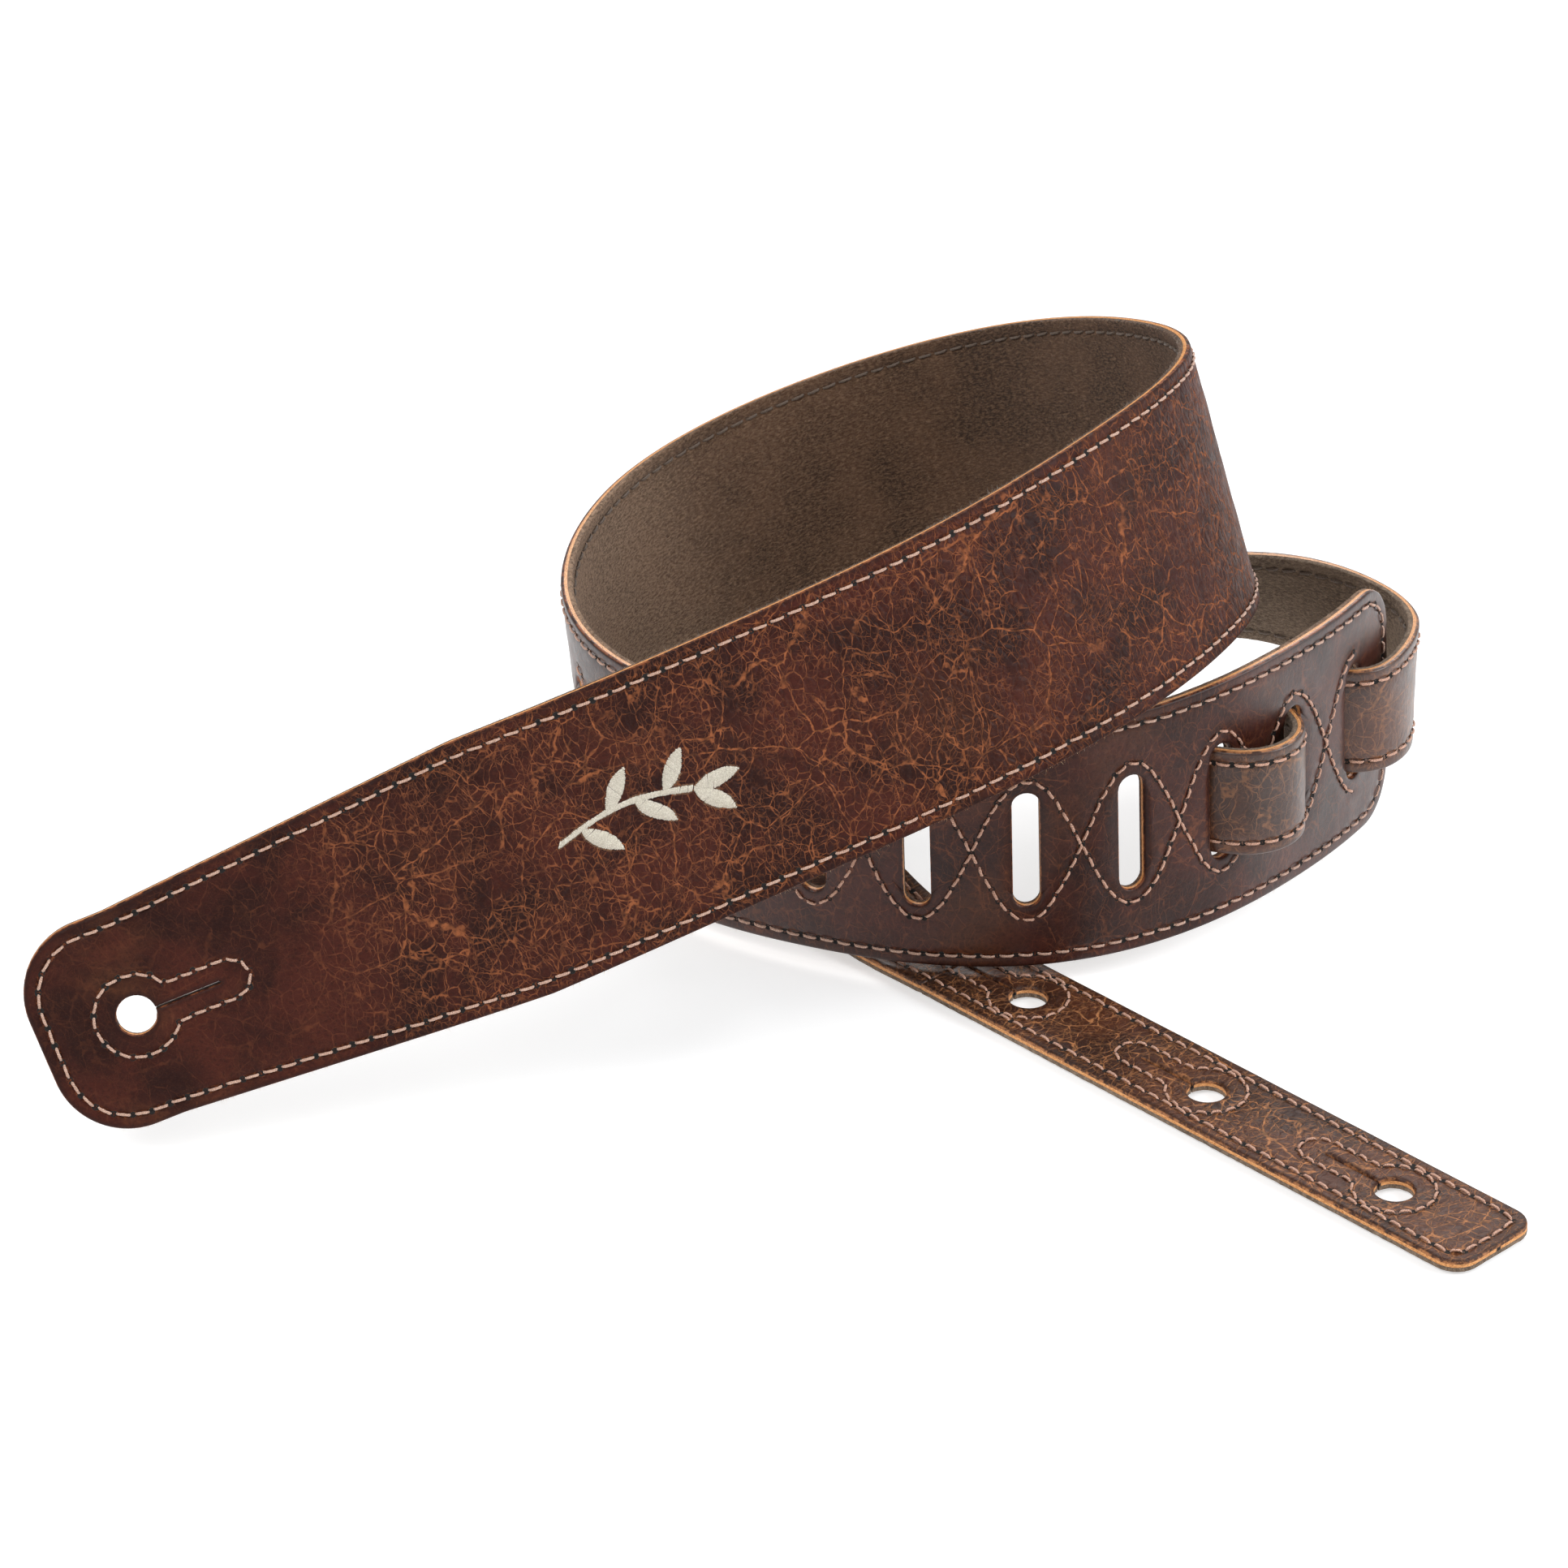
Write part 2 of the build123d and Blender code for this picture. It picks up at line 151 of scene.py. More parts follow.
class Strip:
    def __init__(self, origin, across, along, table, first, last):
        self.table = np.array(table, float)
        ahead = [(np.array(origin, float), across, along)]
        for mark in range(math.ceil(last)):
            ahead.append(self.onward(ahead[-1], 1, mark + 0.5))
        behind = [ahead[0]]
        for mark in range(0, math.floor(first), -1):
            behind.append(self.onward(behind[-1], -1, mark - 0.5))
        frames = behind[:0:-1] + ahead
        self.first = math.floor(first)
        self.origins, self.across, self.along = [np.array(part) for part in zip(*frames)]
        self.out = np.cross(self.along, self.across)

    def onward(self, here, step, distance):
        origin, across, along = here
        bend, twist = [np.interp(distance, self.table[:, 0], self.table[:, column]) * step / 100
                       for column in (1, 2)]
        halfway = turned(along, across, bend / 2)
        turned_along = turned(along, across, bend)
        return origin + halfway * step, turned(across, turned_along, twist), turned_along

    def between(self, values, distance):
        place = np.asarray(distance, float) - self.first
        number = np.clip(np.floor(place).astype(int), 0, len(values) - 2)
        share = (place - number)[..., None]
        return values[number] * (1 - share) + values[number + 1] * share

    def place(self, distance, across, out):
        """Points in the room, in metres."""
        return (self.between(self.origins, distance)
                + self.between(self.across, distance) * np.asarray(across)[..., None]
                + self.between(self.out, distance) * np.asarray(out)[..., None]) / 1000


X, Y, Z = np.eye(3)
strap_along = turned(turned(X, Y, -STRAP_CLIMB), Z, STRAP_HEADING)
strap_up = turned(turned(turned(Z, Y, -STRAP_CLIMB), Z, STRAP_HEADING), strap_along, STRAP_LEAN)
strap = Strip(STRAP_START, strap_up, strap_along, STRAP_ROUTE, 0, STRAP_LENGTH)

slots = [STRAP_LENGTH - SLOT_MARGIN - number * SLOT_PITCH for number in range(SLOT_COUNT)]
laced = slots[LACED_SLOT - 1]
laced_up = strap.between(strap.across, laced)
laced_along = turned(strap.between(strap.along, laced), laced_up, -LACING_ANGLE)
tail = Strip(strap.between(strap.origins, laced), laced_up, laced_along, TAIL_ROUTE,
             TAIL_INNER_END, TAIL_LENGTH)


def strap_half_width(distance):
    share = np.clip((np.asarray(distance, float) - TIP_TAPER[0]) / (TIP_TAPER[1] - TIP_TAPER[0]), 0, 1)
    return (TIP_WIDTH + share * (STRAP_WIDTH - TIP_WIDTH)) / 2


def tail_half_width(distance):
    return np.full(np.shape(distance), TAIL_WIDTH / 2)


# ---- flat outlines -----------------------------------------------------------------------------


def resampled(points, gap, closed=True):
    """The same line with even steps of about a gap."""
    points = np.array(points, float)
    if closed:
        points = np.vstack((points, points[:1]))
    steps = np.linalg.norm(np.diff(points, axis=0), axis=1)
    travelled = np.concatenate(((0,), np.cumsum(steps)))
    count = max(2, round(travelled[-1] / gap))
    places = np.linspace(0, travelled[-1], count + 1)
    if closed:
        places = places[:-1]
    return np.stack([np.interp(places, travelled, points[:, axis]) for axis in (0, 1)], axis=1)


def arc(centre, radius, start, end, steps=24):
    angles = np.radians(np.linspace(start, end, steps))
    return [(centre[0] + radius * math.cos(angle), centre[1] + radius * math.sin(angle))
            for angle in angles]


def strip_outline(first, last, half_width, near, far):
    """The edge of a strip, anticlockwise, with a corner radius at its near and its far end."""
    stretch = np.arange(first + near, last - far, 1.0)
    near_half = float(half_width(first + near)) - near
    far_half = float(half_width(last)) - far
    lower = [(distance, -float(half_width(distance))) for distance in stretch]
    upper = [(distance, -across) for distance, across in reversed(lower)]
    far_end = arc((last - far, -far_half), far, -90, 0) + arc((last - far, far_half), far, 0, 90)
    near_end = arc((first + near, near_half), near, 90, 180) + arc((first + near, -near_half), near, 180, 270)
    return np.array(lower + far_end + upper + near_end)


def moved_in(loop, inset):
    """A closed anticlockwise loop, drawn in by an inset."""
    ahead = np.roll(loop, -1, 0) - np.roll(loop, 1, 0)
    length = np.maximum(np.linalg.norm(ahead, axis=1), 1e-9)
    return loop + np.stack((-ahead[:, 1], ahead[:, 0]), axis=1) / length[:, None] * inset


def placed(points, distance, turn=0):
    angle = math.radians(turn)
    spin = np.array([[math.cos(angle), math.sin(angle)], [-math.sin(angle), math.cos(angle)]])
    return np.array(points) @ spin + (distance, 0)


def slot_outline(distance):
    radius = SLOT_WIDTH / 2
    reach = SLOT_LENGTH / 2 - radius
    return placed(arc((0, reach), radius, 0, 180, 12) + arc((0, -reach), radius, 180, 360, 12), distance)


def hole_outline(distance, turn):
    """A button hole with its slit, which is drawn as a thin open cut."""
    start = math.degrees(math.asin(HALF_SLIT / HOLE_RADIUS))
    slit = [(reach, -HALF_SLIT) for reach in np.linspace(HOLE_RADIUS + 1, SLIT_REACH - 0.3, 12)]
    tip = [(SLIT_REACH, 0)]
    back = [(reach, -across) for reach, across in reversed(slit)]
    ring = arc((0, 0), HOLE_RADIUS, start, 360 - start, 30)
    return placed(ring + slit + tip + back, distance, turn)


def keyhole_path(distance, turn):
    """The stitched line round a button hole and its slit."""
    start = math.degrees(math.asin(KEYHOLE_SIDE / KEYHOLE_RADIUS))
    foot = KEYHOLE_RADIUS * math.cos(math.radians(start))
    reach = KEYHOLE_REACH - KEYHOLE_SIDE
    line = arc((0, 0), KEYHOLE_RADIUS, start, 360 - start, 40)
    line += [(place, -KEYHOLE_SIDE) for place in np.linspace(foot + 1, reach, 12)]
    line += arc((reach, 0), KEYHOLE_SIDE, -90, 90, 16)
    line += [(place, KEYHOLE_SIDE) for place in np.linspace(reach, foot + 1, 12)]
    return placed(line, distance, turn)


def wave_path(side):
    distances = np.linspace(slots[-1], slots[0], 400)
    across = side * WAVE_HEIGHT * np.cos(math.pi * (distances - slots[-1]) / SLOT_PITCH)
    return np.stack((distances, across), axis=1)


BATCH = 4000                # points tested at one time


def inside(points, loop):
    """Which points lie inside a closed loop."""
    found = np.zeros(len(points), bool)
    here, there = loop, np.roll(loop, -1, 0)
    rise = there[:, 1] - here[:, 1]
    rise[rise == 0] = 1e-12
    for start in range(0, len(points), BATCH):
        part = points[start:start + BATCH]
        x, y = part[:, :1], part[:, 1:]
        crossing = (here[:, 1] > y) != (there[:, 1] > y)
        meets = here[:, 0] + (y - here[:, 1]) * (there[:, 0] - here[:, 0]) / rise
        found[start:start + BATCH] = (crossing & (x < meets)).sum(axis=1) % 2 == 1
    return found


def distances_to(points, lines):
    """How far each point is from the nearest of some closed or open lines."""
    samples = np.vstack([resampled(line[0], 0.3, line[1]) for line in lines] + [line[0] for line in lines])
    tree = KDTree(len(samples))
    for number, (distance, across) in enumerate(samples):
        tree.insert((distance, across, 0), number)
    tree.balance()
    return np.array([tree.find((distance, across, 0))[2] for distance, across in points])


class Sheet:
    """A flat triangle mesh of a strip's outline with its holes cut out."""

    def __init__(self, outer, holes, seams):
        outer = resampled(outer, EDGE_GAP)
        loops = [outer] + holes
        rings = [moved_in(outer, inset) for inset in RIM_RINGS]
        for hole in holes:
            rings += [moved_in(hole, -inset) for inset in HOLE_RINGS]
        lows, highs = outer.min(axis=0), outer.max(axis=0)
        columns = np.arange(lows[0], highs[0], MESH_GAP)
        rows = np.arange(lows[1], highs[1], MESH_GAP)
        grid = np.stack(np.meshgrid(columns, rows, indexing="ij"), axis=-1)
        grid[::2, :, 1] += MESH_GAP / 2
        grid = grid.reshape(-1, 2) + rng.uniform(-0.18, 0.18, (grid.size // 2, 2))
        grid = grid[inside(grid, moved_in(outer, RIM_RINGS[-1] + 0.4))]
        for hole in holes:
            grid = grid[~inside(grid, moved_in(hole, -HOLE_RINGS[-1] - 0.5))]
        edges = []
        start = 0
        for loop in loops:
            count = len(loop)
            edges += [(start + number, start + (number + 1) % count) for number in range(count)]
            start += count
        points = np.vstack(loops + rings + [grid])
        found = delaunay_2d_cdt([Vector(point) for point in points], edges, [], 0, 1e-5)
        flat = np.array([tuple(vertex) for vertex in found[0]])
        tris = np.array([face for face in found[2] if len(face) == 3])
        middles = flat[tris].mean(axis=1)
        keep = inside(middles, outer)
        for hole in holes:
            keep &= ~inside(middles, hole)
        tris = tris[keep]
        corners = flat[tris]
        first, second = corners[:, 1] - corners[:, 0], corners[:, 2] - corners[:, 0]
        wrong = first[:, 0] * second[:, 1] - first[:, 1] * second[:, 0] < 0
        tris[wrong] = tris[wrong][:, ::-1]
        used, tris = np.unique(tris, return_inverse=True)
        self.flat = flat[used]
        self.tris = tris.reshape(-1, 3)
        sides = np.vstack((self.tris[:, (0, 1)], self.tris[:, (1, 2)], self.tris[:, (2, 0)]))
        keys = np.sort(sides, axis=1) @ (len(self.flat), 1)
        places, counts = np.unique(keys, return_index=True, return_counts=True)[1:]
        self.rim_edges = sides[places[counts == 1]]
        self.rim = distances_to(self.flat, [(loop, True) for loop in loops])
        self.rim[np.unique(self.rim_edges)] = 0
        self.seam = distances_to(self.flat, seams)


# ---- pieces ------------------------------------------------------------------------------------


def new_piece(name, points, faces, materials, body, flex, replaces, fields=(), flags=None):
    """A mesh piece that rides on a body or, when flex is given, stays unattached with its points where the
    strip puts them.
    """
    mesh = bpy.data.meshes.new(name)
    mesh.from_pydata(np.asarray(points).tolist(), [], [list(map(int, face)) for face in faces])
    for field, values in fields:
        values = np.asarray(values, np.float32)
        if values.ndim == 1:
            mesh.attributes.new(field, "FLOAT", "POINT").data.foreach_set("value", values)
        else:
            mesh.attributes.new(field, "FLOAT_VECTOR", "POINT").data.foreach_set("vector", values.ravel())
    for material in materials:
        mesh.materials.append(material)
    if flags is not None:
        mesh.polygons.foreach_set("material_index", np.asarray(flags, np.int32))
    mesh.polygons.foreach_set("use_smooth", np.ones(len(mesh.polygons), bool))
    mesh.set_sharp_from_angle(angle=math.radians(55))
    mesh.update()
    piece = bpy.data.objects.new(name, mesh)
    bpy.context.scene.collection.objects.link(piece)
    if flex:
        strip, start, end = flex
        tuple(strip.place(start, 0, 0))
        tuple(strip.place(end, 0, 0))
        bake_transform(piece)
    else:
        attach(piece, body)
    if replaces:
        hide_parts(*replaces)
    return piece


TIP_FLEX = (strap, TIP_BEND + TIP_BEND_REACH, TIP_BEND - TIP_BEND_REACH)
TAIL_FLEX = (tail, TAIL_BEND - TAIL_BEND_REACH, TAIL_BEND + TAIL_BEND_REACH)


def soft_waves(flat, seed, size, height):
    """Gentle swells, so that no surface is quite even."""
    wave_rng = np.random.default_rng(seed)
    total = np.zeros(len(flat))
    for _ in range(14):
        direction = wave_rng.uniform(0, math.tau)
        length = size * wave_rng.uniform(0.6, 1.8)
        turn = flat @ (math.cos(direction), math.sin(direction)) * math.tau / length
        total += np.sin(turn + wave_rng.uniform(0, math.tau))
    return total * height / 5


def leather_layer(name, strip, sheet, material, flex, replaces, seed):
    """The face leather: a rolled upper edge, raw walls, and dents along its seams."""
    flat = sheet.flat
    count = len(flat)
    inward = np.clip(sheet.rim, 0, EDGE_ROLL)
    roll = EDGE_ROLL - np.sqrt(EDGE_ROLL ** 2 - (EDGE_ROLL - inward) ** 2)
    dent = 0.34 * np.exp(-(sheet.seam / 0.55) ** 2) + 0.12 * np.exp(-(sheet.seam / 1.6) ** 2)
    fade = np.clip(sheet.rim / 2, 0, 1)
    out = FACE - roll - dent + fade * (soft_waves(flat, seed, 9, 0.06) + soft_waves(flat, seed + 1, 34, 0.10))
    heights = [out, np.full(count, 0.45), np.full(count, 0.02)]
    build_layer(name, strip, sheet, heights, False, material, flex, replaces)


def suede_layer(name, strip, sheet, material, flex, replaces, seed):
    flat = sheet.flat
    count = len(flat)
    inward = np.clip(sheet.rim, 0, SUEDE_ROLL)
    roll = SUEDE_ROLL - np.sqrt(SUEDE_ROLL ** 2 - (SUEDE_ROLL - inward) ** 2)
    nap = np.random.default_rng(seed).normal(0, 0.035, count)
    dent = 0.35 * np.exp(-(sheet.seam / 0.6) ** 2)
    out = -LINING + roll + dent + nap + np.clip(sheet.rim / 2, 0, 1) * soft_waves(flat, seed + 2, 12, 0.06)
    heights = [np.full(count, -0.02), np.full(count, -0.5), out]
    build_layer(name, strip, sheet, heights, True, material, flex, replaces)


def build_layer(name, strip, sheet, heights, suede, material, flex, replaces):
    """A closed skin: the sheet at the first height, walls through the second, the sheet at the third."""
    flat, tris, rim_edges = sheet.flat, sheet.tris, sheet.rim_edges
    top, middle, bottom = heights
    count = len(flat)
    rims = np.unique(rim_edges)
    index = np.zeros(count, int)
    index[rims] = np.arange(len(rims)) + count
    ragged = rng.normal(0, 0.05 if suede else 0.02, (len(rims), 2))
    ring_flat = flat[rims] + ragged
    all_flat = np.vstack((flat, ring_flat, flat))
    out = np.concatenate((top, middle[rims], bottom))
    points = strip.place(all_flat[:, 0], all_flat[:, 1], out)
    low = count + len(rims)
    starts, ends = rim_edges[:, 0], rim_edges[:, 1]
    upper_walls = np.stack((starts, index[starts], index[ends], ends), axis=1)
    lower_walls = np.stack((index[starts], starts + low, ends + low, index[ends]), axis=1)
    faces = tris.tolist() + (tris[:, ::-1] + low).tolist() + upper_walls.tolist() + lower_walls.tolist()
    rim = np.concatenate((sheet.rim, np.full(len(rims), -1.0), np.where(sheet.rim == 0, -1, sheet.rim)
                          if not suede else sheet.rim))
    if suede:
        rim[:count][rims] = -1
    coordinates = np.column_stack((all_flat, out))
    seam = np.concatenate((sheet.seam, np.full(len(rims), 9.0), sheet.seam))
    new_piece(name, points, faces, [material], "strap", flex, replaces,
              [("flat", coordinates), ("rim", rim), ("seam", seam)])


SIDES = 8                   # of a stitch's cross-section
RINGS = 9                   # cross-sections of a stitch
PLY_LOBE = 0.11             # how far the ply shows, as a share of the thread's radius


def tube(base, rings, sides, outward=True):
    """The faces of a closed tube. Its rings of points are numbered from a base."""
    faces = []
    for ring in range(rings - 1):
        for side in range(sides):
            a = base + ring * sides + side
            b = base + ring * sides + (side + 1) % sides
            faces.append((a, a + sides, b + sides, b))
    faces.append(tuple(range(base, base + sides)))
    faces.append(tuple(reversed(range(base + (rings - 1) * sides, base + rings * sides))))
    return faces if outward else [face[::-1] for face in faces]


def stitch_points(path, pitch, closed, jitter=0.06):
    """The needle holes along a line, each a little out of place."""
    line = resampled(path, pitch, closed)
    return line + rng.normal(0, jitter, line.shape)


def sewn(name, strip, runs, low, face, materials, flex, replaces):
    """Separate twisted stitches from needle hole to needle hole, with a small needle hole between, its pit
    painted near-black as shade.
    """
    points, faces, lay, flags = [], [], [], []
    turns = np.linspace(0, 1, RINGS)
    around = np.arange(SIDES) * math.tau / SIDES
    total = 0
    for line, closed in runs:
        pairs = list(zip(line, np.roll(line, -1, 0))) if closed else list(zip(line, line[1:]))
        for start, end in pairs:
            step = end - start
            length = np.linalg.norm(step)
            ahead = step / length
            aside = np.array((-ahead[1], ahead[0]))
            gap = min(0.45, 0.12 * length)
            slant = rng.uniform(0.04, 0.16)
            bow = rng.normal(0, 0.04)
            number = rng.uniform(0, 1)
            spot = gap + turns * (length - 2 * gap)
            shift = slant * (1 - 2 * turns) + bow * np.sin(turns * math.pi)
            middle = start + spot[:, None] * ahead + shift[:, None] * aside
            dip = np.abs(2 * turns - 1) ** 5
            height = low + face * (THREAD_RADIUS * 0.62 - dip * 0.62)
            thick = THREAD_RADIUS * (1 - 0.25 * dip)
            twist = turns[:, None] * 2.4 * math.pi + number * math.tau
            lobe = 1 + PLY_LOBE * np.cos(2 * (around[None, :] - twist))
            side_reach = np.cos(around)[None, :] * thick[:, None] * lobe
            up_reach = np.sin(around)[None, :] * thick[:, None] * lobe * 0.82
            flat = middle[:, None, :] + side_reach[..., None] * aside
            out = height[:, None] + up_reach * face
            points.append(strip.place(flat[..., 0].ravel(), flat[..., 1].ravel(), out.ravel()))
            stitch = tube(total, RINGS, SIDES, face > 0)
            faces += stitch
            flags += [0] * len(stitch)
            lay.append(np.column_stack((np.repeat(spot, SIDES), np.tile(around / math.tau, RINGS),
                                        np.full(RINGS * SIDES, number))))
            total += RINGS * SIDES
        if face > 0:
            for centre in line:
                crater, crater_faces, crater_flags = needle_hole(strip, centre, low, total)
                points.append(crater)
                faces += crater_faces
                flags += crater_flags
                lay.append(np.zeros((len(crater), 3)))
                total += len(crater)
    new_piece(name, np.vstack(points), faces, materials, "strap", flex, replaces,
              [("lay", np.vstack(lay))], flags)


HOLE_SIDES = 10
# A needle hole's rings: how far out each lies, and how high above the leather, in millimetres.
HOLE_PROFILE = ((1.0, -0.60), (0.80, -0.17), (0.62, -0.14), (0.20, -0.40))


def needle_hole(strip, centre, low, total):
    """A pit painted near-black as shade, with a puckered rim of cracked leather."""
    angles = np.arange(HOLE_SIDES) * math.tau / HOLE_SIDES
    size = rng.uniform(0.9, 1.15)
    uneven = 1 + rng.normal(0, 0.10, HOLE_SIDES)
    flat, out = [], []
    for radius, height in HOLE_PROFILE:
        reach = radius * size * uneven
        spot = (centre[0] + reach * np.cos(angles), centre[1] + reach * np.sin(angles))
        flat.append(np.column_stack(spot))
        out.append(np.full(HOLE_SIDES, low + height))
    flat, out = np.vstack(flat), np.concatenate(out)
    faces = tube(total, len(HOLE_PROFILE), HOLE_SIDES, False)
    # faces flagged 2 get the near-black painted shade of the pit
    flags = [1] * HOLE_SIDES + [2] * (len(HOLE_PROFILE) - 2) * HOLE_SIDES + [1, 2]
    return strip.place(flat[:, 0], flat[:, 1], out), faces, flags


FIBRE_RADIUS = 0.035


def fibres(name, strip, roots, directions, outs, lengths, material, flex):
    """Short loose fibres, each a bent three-sided thread."""
    points, faces = [], []
    angles = np.arange(3) * math.tau / 3
    for number, (root, direction, out, length) in enumerate(zip(roots, directions, outs, lengths)):
        for share in (0, 0.5, 1):
            radius = FIBRE_RADIUS * (1 - 0.7 * share)
            curl = 0.25 * length * share * share
            spot = root + direction[:2] * length * share + np.array((direction[1], -direction[0])) * curl
            height = out + direction[2] * length * share
            for angle in angles:
                points.append((spot[0] + radius * math.cos(angle), spot[1],
                               height + radius * math.sin(angle)))
        faces += tube(number * 9, 3, 3, False)
    points = np.array(points)
    new_piece(name, strip.place(points[:, 0], points[:, 1], points[:, 2]), faces, [material],
              "strap", flex, ())


# ---- materials ---------------------------------------------------------------------------------


class Shader:
    """A material with short ways to add its nodes."""

    def __init__(self, name):
        self.material = bpy.data.materials.new(name)
        self.material.use_nodes = True
        self.tree = self.material.node_tree
        self.tree.nodes.clear()
        self.surface = self.add("ShaderNodeBsdfPrincipled")
        output = self.add("ShaderNodeOutputMaterial")
        self.tree.links.new(self.surface.outputs[0], output.inputs[0])

    def add(self, kind, **settings):
        node = self.tree.nodes.new(kind)
        for key, value in settings.items():
            setattr(node, key, value)
        return node

    def set(self, node, socket, value):
        if isinstance(value, bpy.types.NodeSocket):
            self.tree.links.new(value, node.inputs[socket])
        elif value is not None:
            node.inputs[socket].default_value = value

    def field(self, name, output="Vector"):
        return self.add("ShaderNodeAttribute", attribute_name=name).outputs[output]

    def maths(self, operation, first, second=None):
        node = self.add("ShaderNodeMath", operation=operation)
        self.set(node, 0, first)
        self.set(node, 1, second)
        return node.outputs[0]

    def vector(self, operation, first, second):
        node = self.add("ShaderNodeVectorMath", operation=operation)
        self.set(node, 0, first)
        self.set(node, 1, second)
        return node.outputs[0]

    def noise(self, place, scale, detail=2.0, rough=0.5, warp=0.0, colour=False):
        node = self.add("ShaderNodeTexNoise")
        self.set(node, "Vector", place)
        self.set(node, "Scale", scale)
        self.set(node, "Detail", detail)
        self.set(node, "Roughness", rough)
        self.set(node, "Distortion", warp)
        return node.outputs["Color" if colour else "Fac"]

    def cells(self, place, scale):
        """How far each point is from the nearest edge between random cells."""
        node = self.add("ShaderNodeTexVoronoi", feature="DISTANCE_TO_EDGE")
        self.set(node, "Vector", place)
        self.set(node, "Scale", scale)
        return node.outputs["Distance"]

    def between(self, value, low, high, to_low=0.0, to_high=1.0, kind="SMOOTHSTEP"):
        node = self.add("ShaderNodeMapRange", interpolation_type=kind)
        for number, item in enumerate((value, low, high, to_low, to_high)):
            self.set(node, number, item)
        return node.outputs[0]

    def mix(self, share, first, second):
        node = self.add("ShaderNodeMix", data_type="RGBA")
        self.set(node, "Factor", share)
        self.set(node, 6, (*first, 1) if isinstance(first, tuple) else first)
        self.set(node, 7, (*second, 1) if isinstance(second, tuple) else second)
        return node.outputs[2]

    def warped(self, place, scale, amount):
        push = self.vector("SUBTRACT", self.noise(place, scale, 3, colour=True), (0.5, 0.5, 0.5))
        return self.vector("ADD", place, self.vector("MULTIPLY", push, (amount, amount, amount)))

    def bump(self, height, distance, strength=1.0):
        node = self.add("ShaderNodeBump")
        self.set(node, "Strength", strength)
        self.set(node, "Distance", distance / 1000)
        self.set(node, "Height", height)
        self.set(self.surface, "Normal", node.outputs[0])

    def finish(self, colour, rough, **plain):
        self.set(self.surface, "Base Color", (*colour, 1) if isinstance(colour, tuple) else colour)
        self.set(self.surface, "Roughness", rough)
        for socket, value in plain.items():
            self.set(self.surface, socket.replace("_", " "), value)
        return self.material


def curve_over(shader, distance, stops):
    """A strength that changes along a strip. The stops hold distances and strengths."""
    node = shader.add("ShaderNodeFloatCurve")
    low, high = stops[0][0], stops[-1][0]
    line = node.mapping.curves[0]
    line.points[0].location = (0, stops[0][1])
    line.points[1].location = (1, stops[-1][1])
    for place, strength in stops[1:-1]:
        line.points.new((place - low) / (high - low), strength)
    node.mapping.update()
    shader.set(node, "Factor", 1.0)
    shader.set(node, "Value", shader.between(distance, low, high, kind="LINEAR"))
    return node.outputs[0]


# Four sizes of crack: cells in a millimetre, half a crack's width, the noise above which it shows,
# its strength, and whether its cells are longer across the strip.
CRACKS = [(0.055, 0.19, 0.43, 1.0, False), (0.13, 0.15, 0.42, 0.90, True), (0.31, 0.12, 0.40, 0.66, True),
          (0.72, 0.09, 0.44, 0.36, False)]
RAW_DARK, RAW_LIGHT = (0.42, 0.15, 0.04), (0.92, 0.46, 0.18)
# near-black painted shade for the cut walls inside the closed slits
SLIT_PAINTED_SHADE = (0.010, 0.006, 0.005)


